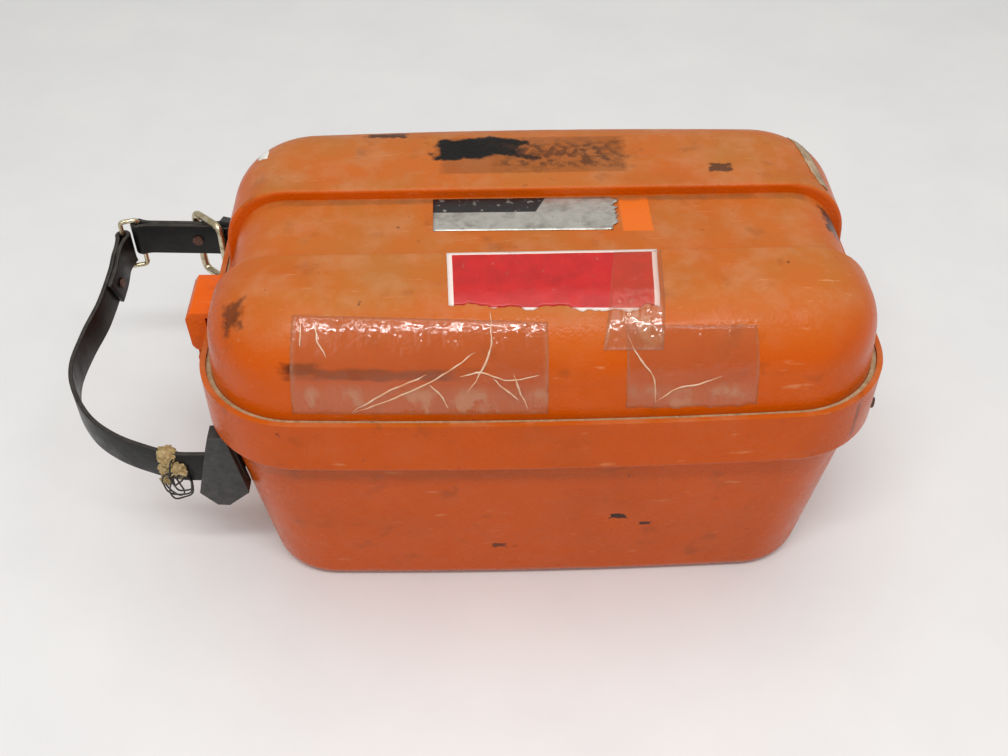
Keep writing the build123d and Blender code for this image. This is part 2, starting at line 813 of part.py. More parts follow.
def fluted_knob(radius, length):
    """Knob along Z from 0 to length, with grip flutes and softened rims."""
    knob = Cylinder(radius, length, align=(Align.CENTER, Align.CENTER, Align.MIN))
    knob = chamfer(knob.edges().filter_by(GeomType.CIRCLE), 0.8)
    flute = Pos(0, 0, length / 2) * Cylinder(flute_radius, length + 2)
    for k in range(flute_count):
        angle = math.radians(360 * k / flute_count)
        knob -= Pos(radius * math.cos(angle), radius * math.sin(angle), 0) * flute
    return knob


def base_plate():
    """Round base plate with the tripod thread and three seats for the foot screws."""
    plate = Pos(0, 0, cradle_floor + plate_thickness / 2) * Cylinder(plate_radius, plate_thickness)
    plate = chamfer(plate.edges().filter_by(GeomType.CIRCLE), 0.8)
    plate -= Pos(0, 0, cradle_floor) * Cylinder(tripod_thread_radius, 4 * plate_thickness)
    for angle in foot_screw_angles:
        place = Pos(foot_screw_circle * math.cos(math.radians(angle)),
                    foot_screw_circle * math.sin(math.radians(angle)), plate_top)
        plate -= place * Cylinder(foot_screw_stem + foot_screw_clearance, 2 * screw_seat_depth)
    collar = Cylinder(tripod_thread_radius + 5, tribrach_gap - part_gap, align=(Align.CENTER, Align.CENTER, Align.MIN))
    collar -= Cylinder(tripod_thread_radius, 4 * tribrach_gap)
    return plate + Pos(0, 0, plate_top) * collar


def foot_screw(angle):
    """Foot screw: foot in the plate's seat, grip head, stem up into the tribrach's arm."""
    low = plate_top - screw_seat_depth + 0.05
    stem = Pos(0, 0, low) * Cylinder(foot_screw_stem, tribrach_top - 2 - low,
                                     align=(Align.CENTER, Align.CENTER, Align.MIN))
    head = Pos(0, 0, plate_top + 4) * fluted_knob(foot_screw_head, foot_screw_head_height)
    place = Pos(foot_screw_circle * math.cos(math.radians(angle)),
                foot_screw_circle * math.sin(math.radians(angle)), 0)
    return place * (stem + head)


def tribrach():
    """Three-armed tribrach over the foot screws."""
    middle = (tribrach_low + tribrach_top) / 2
    body = Pos(0, 0, middle) * Cylinder(tribrach_hub, tribrach_thickness)
    for angle in foot_screw_angles:
        turn = Rot(0, 0, angle)
        body += turn * Pos(foot_screw_circle / 2, 0, middle) * Box(foot_screw_circle, 18, tribrach_thickness)
        body += turn * Pos(foot_screw_circle, 0, middle) * Cylinder(9.0, tribrach_thickness)
    for angle in foot_screw_angles:
        hole = Pos(foot_screw_circle, 0, middle) * Cylinder(
            foot_screw_stem + foot_screw_clearance, tribrach_thickness + 2)
        body -= Rot(0, 0, angle) * hole
    return body


def horizontal_circle():
    """Graduated circle ring between tribrach and housing."""
    ring = Pos(0, 0, (circle_low + circle_top) / 2) * Cylinder(circle_radius, circle_height)
    ring = chamfer(ring.edges().filter_by(GeomType.CIRCLE), 1.0)
    return ring


def level_housing():
    """Main housing: rounded box with a hollow for the compensator, and the telescope tubes."""
    length = housing_rear_x - housing_front_x
    centre_x = (housing_rear_x + housing_front_x) / 2
    middle = (housing_low + housing_top) / 2
    box = Pos(centre_x, 0, middle) * Box(length, housing_depth, housing_height)
    box = fillet(box.edges().filter_by(Axis.X).group_by(Axis.Z)[-1], 14.0)
    box = fillet(box.edges().filter_by(Axis.Z), 8.0)
    front_length = housing_front_x - objective_x + housing_wall
    front = Pos(housing_front_x + housing_wall - front_length / 2, 0, sight_height) * Rot(0, 90, 0) * Cylinder(
        tube_radius, front_length)
    rear_length = ocular_x - housing_rear_x + housing_wall
    rear = Pos(ocular_x - rear_length / 2, 0, sight_height) * Rot(0, 90, 0) * Cylinder(ocular_radius, rear_length)
    body = box + front + rear
    inner_box = Pos(centre_x, 0, middle) * Box(
        length - 2 * housing_wall, housing_depth - 2 * housing_wall, housing_height - 2 * housing_wall)
    inner_box = fillet(inner_box.edges().filter_by(Axis.X).group_by(Axis.Z)[-1], 14.0 - housing_wall)
    front_bore = Pos(objective_x, 0, sight_height) * Rot(0, 90, 0) * Cylinder(
        tube_radius - tube_wall, 2 * (front_length + housing_wall), align=(Align.CENTER, Align.CENTER, Align.CENTER))
    rear_bore = Pos(ocular_x, 0, sight_height) * Rot(0, 90, 0) * Cylinder(
        ocular_radius - tube_wall, 2 * (rear_length + housing_wall))
    body -= inner_box
    body -= front_bore
    body -= rear_bore
    body -= Pos(focus_x, 0, sight_height) * Rot(90, 0, 0) * Pos(0, 0, -housing_depth / 2) * Cylinder(
        shaft_radius + shaft_clearance, housing_depth)
    body -= Pos(tangent_x, 0, sight_height - tangent_drop) * Rot(90, 0, 0) * Cylinder(
        shaft_radius + shaft_clearance, housing_depth + 10)
    body -= pivot_place * Cylinder(pivot_radius + rivet_clearance, 2 * (pivot_half_length + rivet_clearance))
    return body


def lens_disc(x, radius, thickness):
    """Lens with two gently domed faces, standing across the line of sight."""
    disc = Cylinder(radius, thickness)
    disc = fillet(disc.edges().filter_by(GeomType.CIRCLE), thickness * 0.3)
    return Pos(x, 0, sight_height) * Rot(0, 90, 0) * disc


pivot_place = Pos(pendulum_x, 0, housing_top - housing_wall - pendulum_drop) * Rot(90, 0, 0)
carriage_radius = tube_radius - tube_wall - 0.1


def objective_ring():
    """Ring that holds the objective in the mouth of the telescope."""
    ring = Cylinder(carriage_radius, lens_thickness + 4) - Cylinder(lens_radius + 0.1, lens_thickness + 6)
    return Pos(objective_x + 6, 0, sight_height) * Rot(0, 90, 0) * ring


def focus_carriage():
    """Ring that carries the focusing lens inside the telescope."""
    ring = Cylinder(carriage_radius, 16) - Cylinder(carriage_radius - focus_ring_wall, 20)
    return Pos(carriage_x, 0, sight_height) * Rot(0, 90, 0) * ring


def dioptre_ring():
    """Turning eyepiece ring on the end of the ocular tube."""
    knob = fluted_knob(dioptre_radius, dioptre_length)
    neck = Pos(0, 0, -10) * Cylinder(ocular_radius - tube_wall - 0.05, 20)
    bore = Cylinder(eyepiece_bore, 60)
    return Pos(ocular_x + part_gap, 0, sight_height) * Rot(0, 90, 0) * (knob + neck - bore)


def focusing_knob():
    """Focusing knob with its shaft, on the housing's rear side."""
    shaft = Pos(0, 0, -6) * Cylinder(shaft_radius, 14)
    knob = fluted_knob(focus_knob_radius, focus_knob_length)
    place = Pos(focus_x, housing_depth / 2 + part_gap, sight_height) * Rot(-90, 0, 0)
    return place * (knob + shaft)


def tangent_drive():
    """Horizontal tangent screw: one shaft right through, a knob on each side."""
    z = sight_height - tangent_drop
    drive = Pos(tangent_x, 0, z) * Rot(90, 0, 0) * Cylinder(shaft_radius, housing_depth + 8)
    for turn, side in ((-90, 1), (90, -1)):
        place = Pos(tangent_x, side * (housing_depth / 2 + part_gap), z) * Rot(turn, 0, 0)
        drive += place * fluted_knob(tangent_knob_radius, tangent_knob_length)
    return drive


vial_y = -housing_depth / 2 - vial_radius - 1
vial_low = sight_height - 14 - vial_height / 2


def vial_cup():
    """Cup of the circular level, on a bracket at the housing's front side."""
    cup = Pos(vial_x, vial_y, vial_low) * Cylinder(
        vial_radius, vial_height, align=(Align.CENTER, Align.CENTER, Align.MIN))
    bracket = Pos(vial_x, -housing_depth / 2 - 1.22, vial_low + vial_height / 2) * Box(16, 2.4, vial_height)
    well = Pos(vial_x, vial_y, vial_low + vial_floor) * Cylinder(
        vial_radius - vial_wall, vial_height, align=(Align.CENTER, Align.CENTER, Align.MIN))
    return cup + bracket - well


def vial_glass():
    """Glass of the circular level in its cup."""
    return Pos(vial_x, vial_y, vial_low + vial_floor + 0.1) * Cylinder(
        vial_radius - vial_wall - 0.1, vial_glass_height, align=(Align.CENTER, Align.CENTER, Align.MIN))


def compensator_pivot():
    """Cross bar that the compensator hangs on."""
    return pivot_place * Cylinder(pivot_radius, 2 * pivot_half_length)


def compensator():
    """Pendulum with its prism, hung on the pivot."""
    pivot_z = housing_top - housing_wall - pendulum_drop
    prism_top = sight_height + 2
    eye = pivot_place * Cylinder(pivot_radius + 2.5, 10)
    arm = Pos(pendulum_x, 0, (pivot_z + prism_top) / 2 - 1) * Box(3, 10, pivot_z - prism_top + 2)
    prism = Pos(pendulum_x, 0, prism_top - 8) * Box(16, 20, 16)
    return eye + arm + prism - pivot_place * Cylinder(pivot_radius + pivot_clearance, 12)


def lid_pad():
    """Foam pad under the lid that holds the housing down."""
    top = lid_top_z - groove_depth - wall - 0.3
    low = housing_top + pad_gap
    return Pos(0, groove_y, (top + low) / 2) * Box(pad_length, groove_width - 2, top - low)


def build():
    """Make and save every piece."""
    save(base_tub(), "base_tub")
    save(lid_shell(), "lid_shell")
    save(seam_gasket(), "seam_gasket")
    save(hinge_base_leaf(), "hinge_base_leaf")
    save(hinge_lid_leaf(), "hinge_lid_leaf")
    save(hinge_pin(), "hinge_pin")
    save(Compound([rivet(seat) for seat in leaf_seats]), "hinge_base_rivets")
    save(Compound([small_rivet(seat) for seat in lid_leaf_seats]), "hinge_lid_rivets")
    save(Compound([rivet(seat) for seat in end_rivet_seats]), "end_rivets")
    save(latch_lever(), "latch_lever")
    save(latch_pin(), "latch_pin")
    save(strap_eye(), "strap_eye")
    save(Compound([rivet(seat) for seat in eye_seats]), "strap_eye_rivets")
    save(short_strap(), "short_strap")
    save(strap_rivet(short_frame * Pos(strap_run * short_rivet_share, 0, 0), 2 * strap_thickness),
         "short_strap_rivet")
    save(keeper_ring(), "keeper_ring")
    save(link_ring(), "link_ring")
    save(long_strap(), "long_strap")
    save(strap_rivet(tail_rivet_frame, 2 * strap_thickness + ring_slack), "long_strap_rivet")
    save(strap_clamp(), "strap_clamp")
    save(Compound([rivet(seat) for seat in clamp_seats]), "strap_clamp_rivets")
    save(repair_tape(), "repair_tape")
    save(repair_wire(), "repair_wire")
    save(cradle(), "cradle")
    save(lid_pad(), "lid_pad")
    save(base_plate(), "level_base_plate")
    for name, angle in zip(("rear", "left", "right"), foot_screw_angles):
        save(foot_screw(angle), f"foot_screw_{name}")
    save(tribrach(), "tribrach")
    save(horizontal_circle(), "horizontal_circle")
    save(level_housing(), "level_housing")
    save(objective_ring(), "objective_ring")
    save(lens_disc(objective_x + 6, lens_radius, lens_thickness), "objective_lens")
    save(focus_carriage(), "focus_carriage")
    save(lens_disc(carriage_x, carriage_radius - focus_ring_wall - 0.1, lens_thickness), "focusing_lens")
    save(lens_disc(reticle_x, ocular_radius - tube_wall - 0.1, reticle_thickness), "reticle")
    save(lens_disc(ocular_x + dioptre_length - 4, eyepiece_bore - 0.1, 5.0), "eyepiece_lens")
    save(dioptre_ring(), "dioptre_ring")
    save(focusing_knob(), "focusing_knob")
    save(tangent_drive(), "tangent_drive")
    save(vial_cup(), "vial_cup")
    save(vial_glass(), "vial_glass")
    save(compensator_pivot(), "compensator_pivot")
    save(compensator(), "compensator")


build()
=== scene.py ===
"""Looks of an automatic level stowed in its moulded carrying case.

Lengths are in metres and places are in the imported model's frame: the origin is
on the table under the tub, +X points to the hinge end and -Y to the front.
"""
import json
import logging
import math
from dataclasses import dataclass, field
from enum import Enum

import bmesh
import bpy
from mathutils import Matrix, Vector, noise
from mathutils.bvhtree import BVHTree


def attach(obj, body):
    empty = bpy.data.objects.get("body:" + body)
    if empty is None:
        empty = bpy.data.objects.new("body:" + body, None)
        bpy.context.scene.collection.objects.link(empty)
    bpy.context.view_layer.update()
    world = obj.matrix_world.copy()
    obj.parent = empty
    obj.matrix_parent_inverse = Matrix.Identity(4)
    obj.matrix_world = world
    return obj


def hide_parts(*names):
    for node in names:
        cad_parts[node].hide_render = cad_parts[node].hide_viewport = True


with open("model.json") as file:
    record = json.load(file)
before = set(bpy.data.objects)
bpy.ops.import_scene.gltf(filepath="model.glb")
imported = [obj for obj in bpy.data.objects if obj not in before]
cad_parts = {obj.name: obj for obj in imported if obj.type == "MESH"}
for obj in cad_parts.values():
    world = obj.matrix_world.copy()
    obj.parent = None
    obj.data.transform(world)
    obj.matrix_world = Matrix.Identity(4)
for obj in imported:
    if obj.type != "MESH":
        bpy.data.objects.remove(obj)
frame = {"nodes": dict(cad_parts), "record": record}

log = logging.getLogger("carrying_case")

MM = 0.001
IMAGE_WIDTH_PX = 1008
SENSOR_MM = 36.0
# Seed of the vector noise that kinks the wire and the tape creases
NOISE_SEED = 1796117475

Socket = bpy.types.NodeSocket
Material = bpy.types.Material
Pair = tuple[float, float]
Triple = tuple[float, float, float]
Face = tuple[int, ...]


# Colour and node helpers

def srgb(code: str) -> tuple[float, float, float, float]:
    """Turns an sRGB hex code into a linear colour.

    Args:
        code: six hex digits with a leading hash.

    Returns:
        Linear red, green, blue and an alpha of 1.
    """
    parts = [int(code[i:i + 2], 16) / 255 for i in (1, 3, 5)]
    linear = [c / 12.92 if c <= 0.04045 else ((c + 0.055) / 1.055) ** 2.4 for c in parts]
    return linear[0], linear[1], linear[2], 1.0


def plug(tree: bpy.types.NodeTree, node: bpy.types.Node, inputs: dict) -> None:
    """Sets or feeds a node's inputs.

    Args:
        tree: the node's tree.
        node: the node.
        inputs: socket name or index to a value or to a socket that feeds it.
    """
    for key, value in inputs.items():
        if isinstance(value, Socket):
            tree.links.new(value, node.inputs[key])
        else:
            node.inputs[key].default_value = value


def add(tree: bpy.types.NodeTree, kind: str, inputs: dict | None = None,
        **settings: object) -> bpy.types.Node:
    """Adds one node with its settings and links.

    Args:
        tree: the node tree that takes the node.
        kind: the node's type name.
        inputs: socket name or index to a value or to a socket that feeds it.
        settings: the node's own properties.

    Returns:
        The new node.
    """
    node = tree.nodes.new(kind)
    for key, value in settings.items():
        setattr(node, key, value)
    plug(tree, node, inputs or {})
    return node


def per_metre(feature_mm: float) -> float:
    """Noise scale that gives features of about this many millimetres."""
    return 1.0 / (feature_mm * MM)


@dataclass(frozen=True)
class Marks:
    """Marks of one colour, scattered by noise.

    The first level is the noise up to which there is no mark, the second the
    noise from which it is whole. The share is how much it covers.
    """

    colour: str
    size_mm: float
    levels: Pair
    detail: float = 4.0
    share: float = 1.0
    stretch: Triple = (1, 1, 1)


@dataclass(frozen=True)
class Blot:
    """Where one mark lies, a soft and ragged box in millimetres, and how strongly it shows."""

    centre: Triple
    half: Triple
    strength: float
    ragged: float = 0.5
    soft: float = 0.15
    ragged_mm: float = 5.0


@dataclass(frozen=True)
class StainOrShade:
    """A mark on the moulding, which smaller noise can break up: mostly marks the case really has, and a few
    patches of painted shade.
    """

    colour: str
    blot: Blot
    broken_mm: float = 0.0


@dataclass
class Shading:
    """A material being built: its tree, its shader and the object's own coordinates."""

    name: str
    material: Material = field(init=False)
    tree: bpy.types.NodeTree = field(init=False)
    shader: bpy.types.Node = field(init=False)
    place: Socket = field(init=False)
    normal: Socket = field(init=False)

    def __post_init__(self) -> None:
        """Makes the material with one Principled shader."""
        self.material = bpy.data.materials.new(self.name)
        self.material.use_nodes = True
        self.tree = self.material.node_tree
        self.tree.nodes.clear()
        output = add(self.tree, "ShaderNodeOutputMaterial")
        self.shader = add(self.tree, "ShaderNodeBsdfPrincipled")
        self.tree.links.new(self.shader.outputs["BSDF"], output.inputs["Surface"])
        source = add(self.tree, "ShaderNodeTexCoord")
        self.place = source.outputs["Object"]
        self.normal = source.outputs["Normal"]

    def feed(self, inputs: dict) -> None:
        """Sets or feeds the shader's inputs."""
        plug(self.tree, self.shader, inputs)

    def out(self, kind: str, inputs: dict, **settings: object) -> Socket:
        """Adds one node and gives its first output."""
        return add(self.tree, kind, inputs, **settings).outputs[0]

    def cut(self, value: Socket, none_at: float, full_at: float) -> Socket:
        """Mask that goes from 0 where a value is at none_at to 1 where it is at full_at."""
        return self.out("ShaderNodeMapRange", {"Value": value, "From Min": none_at, "From Max": full_at},
                        clamp=True)

    def cloud(self, size_mm: float, low: float, high: float, detail: float = 4.0,
              stretch: Triple = (1, 1, 1)) -> Socket:
        """Noise cut to a mask.

        Args:
            size_mm: size of one blotch.
            low: noise level that gives 0.
            high: noise level that gives 1.
            detail: octaves of the noise.
            stretch: scale of the pattern along each axis.

        Returns:
            The mask, from 0 to 1.
        """
        turned = self.out("ShaderNodeMapping", {"Vector": self.place, "Scale": stretch})
        grain = self.out("ShaderNodeTexNoise", {"Vector": turned, "Scale": per_metre(size_mm),
                                                "Detail": detail, "Roughness": 0.6})
        return self.cut(grain, low, high)

    def box_mask(self, blot: Blot) -> Socket:
        """Mask of a soft, ragged box.

        Args:
            blot: the box.

        Returns:
            The mask, 1 inside and 0 outside.
        """
        offset = self.out("ShaderNodeVectorMath", {0: self.place, 1: tuple(c * MM for c in blot.centre)},
                          operation="SUBTRACT")
        share = self.out("ShaderNodeVectorMath", {0: offset, 1: tuple(h * MM for h in blot.half)},
                         operation="DIVIDE")
        size = self.out("ShaderNodeVectorMath", {0: share}, operation="ABSOLUTE")
        x, y, z = add(self.tree, "ShaderNodeSeparateXYZ", {0: size}).outputs
        wobble = self.out("ShaderNodeTexNoise",
                          {"Vector": self.place, "Scale": per_metre(blot.ragged_mm), "Detail": 5.0})
        shifted = self.out("ShaderNodeMath",
                           {0: wobble, 1: blot.ragged * 2, 2: self.larger(self.larger(x, y), z)},
                           operation="MULTIPLY_ADD")
        edge = 1.0 + blot.ragged
        return self.cut(shifted, edge + blot.soft, edge - blot.soft)

    def outside(self, middle: Triple) -> Socket:
        """Mask of the faces that look away from a middle point, given in metres."""
        offset = self.out("ShaderNodeVectorMath", {0: self.place, 1: middle}, operation="SUBTRACT")
        away = add(self.tree, "ShaderNodeVectorMath", {0: offset, 1: self.normal},
                   operation="DOT_PRODUCT").outputs["Value"]
        return self.out("ShaderNodeMath", {0: away, 1: 0.0}, operation="GREATER_THAN")

    def larger(self, first: Socket, second: Socket) -> Socket:
        """The larger of two values."""
        return self.out("ShaderNodeMath", {0: first, 1: second}, operation="MAXIMUM")

    def strip_shares(self) -> tuple[Socket, Socket]:
        """Shares along and across a piece, from its UV map "strip"."""
        flat = self.out("ShaderNodeUVMap", {}, uv_map="strip")
        along, across, _ = add(self.tree, "ShaderNodeSeparateXYZ", {0: flat}).outputs
        return along, across

    def off_middle(self, share: Socket) -> Socket:
        """How far a share is from 0.5."""
        centred = self.out("ShaderNodeMath", {0: share, 1: 0.5}, operation="SUBTRACT")
        return self.out("ShaderNodeMath", {0: centred}, operation="ABSOLUTE")

    def blend(self, under: object, over: object, mask: object) -> Socket:
        """Lays one colour over another where a mask is 1."""
        mixed = add(self.tree, "ShaderNodeMix", {0: mask, 6: under, 7: over}, data_type="RGBA")
        return mixed.outputs[2]

    def scaled(self, mask: Socket, *shares: object) -> Socket:
        """Multiplies a mask by numbers or other masks."""
        for share in shares:
            mask = self.out("ShaderNodeMath", {0: mask, 1: share}, operation="MULTIPLY")
        return mask

    def speckled(self, colour: Socket, marks: Marks, within: Socket | None = None) -> Socket:
        """Scatters marks over a colour.

        Args:
            colour: the colour under them.
            marks: what they look like.
            within: a mask that they keep to.

        Returns:
            The marked colour.
        """
        mask = self.cloud(marks.size_mm, *marks.levels, marks.detail, marks.stretch)
        mask = self.scaled(mask, marks.share)
        if within is not None:
            mask = self.scaled(mask, within)
        return self.blend(colour, srgb(marks.colour), mask)

    def between(self, mask: Socket, low: float, high: float) -> Socket:
        """Spreads a mask between two values."""
        return self.out("ShaderNodeMapRange", {"Value": mask, "To Min": low, "To Max": high}, clamp=True)

    def relief(self, heights: list[tuple[Socket, float]]) -> None:
        """Bumps the surface.

        Args:
            heights: pairs of a height mask and its full height in millimetres.
        """
        normal = None
        for height, high_mm in heights:
            inputs = {"Height": height, "Distance": high_mm * MM, "Strength": 1.0}
            if normal is not None:
                inputs["Normal"] = normal
            normal = self.out("ShaderNodeBump", inputs)
        self.feed({"Normal": normal})


# Finishes

@dataclass(frozen=True)
class MouldedPolypropylene:
    """Injection-moulded polypropylene with a fine leather-like texture from the mould.

    The eye sees a saturated orange where it is sheltered, a dusty, sun-faded
    tan on what faces up, a pebbled gloss, scuffs and scattered dark grime.
    """

    name: str
    sheltered: str
    faded: str
    fade: float
    dark: str
    # Real marks, and a few patches of painted shade
    stains_and_shade: tuple[StainOrShade, ...] = ()
    glossy: tuple[Blot, ...] = ()
    pebble_mm: float = 1.3
    fade_low_mm: float = 130.0
    fade_high_mm: float = 168.0
    middle: Triple = (0.0, 0.0, 0.1)
    # Dust in the pebbles, pale scuffs along the case, small dark grime and wide brown smudges
    dust: Marks = Marks("#C9A582", 16.0, (0.46, 0.74), 9.0)
    scuffs: Marks = Marks("#E4A878", 2.2, (0.66, 0.74), 3.0, 0.30, (0.12, 1.0, 0.6))
    grime: Marks = Marks("#3A2015", 5.0, (0.68, 0.76), 6.0, 0.8)
    smudges: Marks = Marks("#6E3A1B", 17.0, (0.60, 0.78), 7.0, 0.5)

    def make(self) -> Material:
        """Builds the material."""
        s = Shading(self.name)
        height = add(s.tree, "ShaderNodeSeparateXYZ", {0: s.place}).outputs[2]
        upward = add(s.tree, "ShaderNodeSeparateXYZ", {0: s.normal}).outputs[2]
        outside = s.outside(self.middle)
        exposed = s.scaled(s.cut(height, self.fade_low_mm * MM, self.fade_high_mm * MM),
                           s.cut(upward, 0.35, 0.98), outside)
        fade = s.scaled(exposed, s.between(s.cloud(46.0, 0.36, 0.66), 0.55, 1.0), self.fade)
        colour = s.blend(srgb(self.sheltered), srgb(self.faded), fade)
        colour = s.speckled(colour, Marks(self.dark, 70.0, (0.50, 0.72), share=0.35))
        colour = s.speckled(colour, self.dust, s.between(exposed, 0.04, 0.22))
        colour = s.speckled(colour, self.scuffs)
        colour = s.speckled(colour, self.grime, outside)
        colour = s.speckled(colour, self.smudges, outside)
        # Lays the real marks and the patches of painted shade
        for stain_or_shade in self.stains_and_shade:
            mask = s.box_mask(stain_or_shade.blot)
            if stain_or_shade.broken_mm:
                mask = s.scaled(mask, s.cloud(stain_or_shade.broken_mm, 0.42, 0.55, 8.0))
            colour = s.blend(colour, srgb(stain_or_shade.colour), s.scaled(mask, outside, stain_or_shade.blot.strength))
        worn = s.between(s.cloud(14.0, 0.35, 0.68, 6.0), 0.20, 0.34)
        rough = s.out("ShaderNodeMath", {0: worn, 1: s.scaled(fade, 0.22)}, operation="ADD")
        for blot in self.glossy:
            rough = s.scaled(rough, s.between(s.box_mask(blot), 1.0, 1.0 - blot.strength))
        s.feed({"Base Color": colour, "Roughness": rough, "IOR": 1.46, "Specular IOR Level": 0.2})
        pebbles = s.out("ShaderNodeTexVoronoi", {"Vector": s.place, "Scale": per_metre(self.pebble_mm)},
                        feature="SMOOTH_F1")
        fine, wave = (
            s.out("ShaderNodeTexNoise", {"Vector": s.place, "Scale": per_metre(size), "Detail": detail})
            for size, detail in ((0.7, 3.0), (24.0, 2.0)))
        s.relief([(wave, 0.7), (pebbles, 0.16), (fine, 0.06)])
        return s.material


@dataclass(frozen=True)
class PlainFinish:
    """A finish with two mixed colours, uneven gloss, a fine relief and specks of dirt.

    The eye sees the base colour with soft variation at the pattern's real size.
    """

    name: str
    colour: str
    second: str
    metallic: float = 0.0
    rough: Pair = (0.35, 0.5)
    mix_mm: float = 8.0
    # Width and height of the relief's grain
    grain_mm: Pair = (0.8, 0.02)
    dirt: str = "#2A2018"
    dirt_share: float = 0.3
    ior: float = 1.5
    alpha: float = 1.0
    transmission: float = 0.0

    def make(self) -> Material:
        """Builds the material."""
        s = Shading(self.name)
        colour = s.blend(srgb(self.colour), srgb(self.second), s.cloud(self.mix_mm, 0.38, 0.66, 6.0))
        dirt = Marks(self.dirt, self.mix_mm * 0.6, (0.62, 0.74), 8.0, self.dirt_share)
        s.feed({"Base Color": s.speckled(colour, dirt),
                "Roughness": s.between(s.cloud(self.mix_mm * 0.5, 0.35, 0.7, 6.0), *self.rough),
                "Metallic": self.metallic, "IOR": self.ior, "Alpha": self.alpha,
                "Transmission Weight": self.transmission})
        width, height = self.grain_mm
        s.relief([(s.cloud(width, 0.3, 0.7, 3.0), height)])
        return s.material


@dataclass(frozen=True)
class StrapLeather:
    """Vegetable-tanned leather, dyed and waxed black, with raw cut edges.

    The eye sees a smooth waxy black face with fine creases, and a thin
    greyish line along each cut edge. The strip's own UV map runs along it.
    """

    name: str = "dyed_strap_leather"
    cut_edge: Pair = (0.455, 0.497)

    def make(self) -> Material:
        """Builds the material."""
        s = Shading(self.name)
        edge = s.cut(s.off_middle(s.strip_shares()[1]), *self.cut_edge)
        broken = s.scaled(edge, s.between(s.cloud(5.0, 0.35, 0.6), 0.35, 1.0))
        colour = s.blend(srgb("#0C0B0B"), srgb("#171514"), s.cloud(11.0, 0.4, 0.7))
        colour = s.blend(colour, srgb("#4A443F"), s.scaled(broken, 0.6))
        colour = s.speckled(colour, Marks("#37322D", 2.6, (0.68, 0.76), 6.0, 0.35))
        s.feed({"Base Color": colour, "Roughness": s.between(s.cloud(7.0, 0.35, 0.7), 0.30, 0.48),
                "Specular IOR Level": 0.28})
        creases = s.out("ShaderNodeTexVoronoi", {"Vector": s.place, "Scale": per_metre(0.9)},
                        feature="DISTANCE_TO_EDGE")
        s.relief([(s.cloud(6.0, 0.3, 0.7), 0.10), (creases, 0.03)])
        return s.material


@dataclass(frozen=True)
class CrinklePaint:
    """Wrinkle-finish stoved enamel on folded sheet.

    The eye sees a dark grey skin of tiny branching ridges, rubbed lighter.
    """

    name: str = "wrinkle_enamel_sheet"

    def make(self) -> Material:
        """Builds the material."""
        s = Shading(self.name)
        colour = s.blend(srgb("#262626"), srgb("#3A3937"), s.cloud(4.0, 0.35, 0.7))
        colour = s.speckled(colour, Marks("#8A7F70", 1.4, (0.64, 0.74), 6.0, 0.5))
        s.feed({"Base Color": colour, "Roughness": s.between(s.cloud(3.0, 0.3, 0.7), 0.42, 0.62)})
        ridges = s.out("ShaderNodeTexVoronoi", {"Vector": s.place, "Scale": per_metre(1.1)},
                       feature="SMOOTH_F1")
        s.relief([(ridges, 0.12)])
        return s.material


@dataclass(frozen=True)
class ClearTape:
    """Clear packing tape, aged: film on a yellowed adhesive.

    The eye sees a glossy film, milky where it has come loose below, with dirty edges.
    """

    name: str = "aged_packing_tape"
    loose: Pair = (0.62, 0.74)
    rim: Pair = (0.475, 0.50)

    def make(self) -> Material:
        """Builds the material."""
        s = Shading(self.name)
        along, across = s.strip_shares()
        rim = s.cut(s.larger(s.off_middle(along), s.off_middle(across)), *self.rim)
        folds = s.cloud(9.0, 0.50, 0.60, 3.0, (1.0, 0.6, 0.45))
        loose = s.scaled(s.cut(across, *self.loose), s.between(folds, 0.25, 0.8))
        milky = s.larger(loose, s.scaled(rim, 0.5))
        s.feed({"Base Color": s.blend(srgb("#C85C08"), srgb("#D89868"), milky),
                "Alpha": s.between(milky, 0.20, 0.44), "IOR": 1.7, "Specular IOR Level": 1.0,
                "Roughness": s.between(s.cloud(9.0, 0.4, 0.7), 0.08, 0.22)})
        s.relief([(s.cloud(7.0, 0.3, 0.7, 2.0), 0.25), (folds, 0.3)])
        return s.material


@dataclass(frozen=True)
class FoilLabel:
    """Printed and lacquered aluminium foil.

    The eye sees dull silver with rubbed print, a black band along the
    rear left side and dirt round the rim.
    """

    name: str = "printed_aluminium_foil"
    slant: float = 0.12
    band_along: Pair = (0.604, 0.596)
    band_across: Pair = (0.45, 0.43)

    def make(self) -> Material:
        """Builds the material."""
        s = Shading(self.name)
        along, across = s.strip_shares()
        slanted = s.out("ShaderNodeMath", {0: across, 1: self.slant, 2: along}, operation="MULTIPLY_ADD")
        band = s.scaled(s.cut(slanted, *self.band_along), s.cut(across, *self.band_across),
                        s.between(s.cloud(3.0, 0.60, 0.70, 6.0), 1.0, 0.3))
        colour = s.blend(srgb("#BDBBB4"), srgb("#8F8B82"), s.cloud(6.0, 0.45, 0.75, 6.0))
        colour = s.blend(colour, srgb("#17181A"), band)
        colour = s.speckled(colour, Marks("#5B4632", 3.5, (0.66, 0.75), 6.0, 0.8))
        s.feed({"Base Color": colour, "Metallic": s.between(band, 0.75, 0.0),
                "Roughness": s.between(s.cloud(4.0, 0.4, 0.7), 0.34, 0.55)})
        s.relief([(s.cloud(12.0, 0.3, 0.7, 3.0), 0.2)])
        return s.material


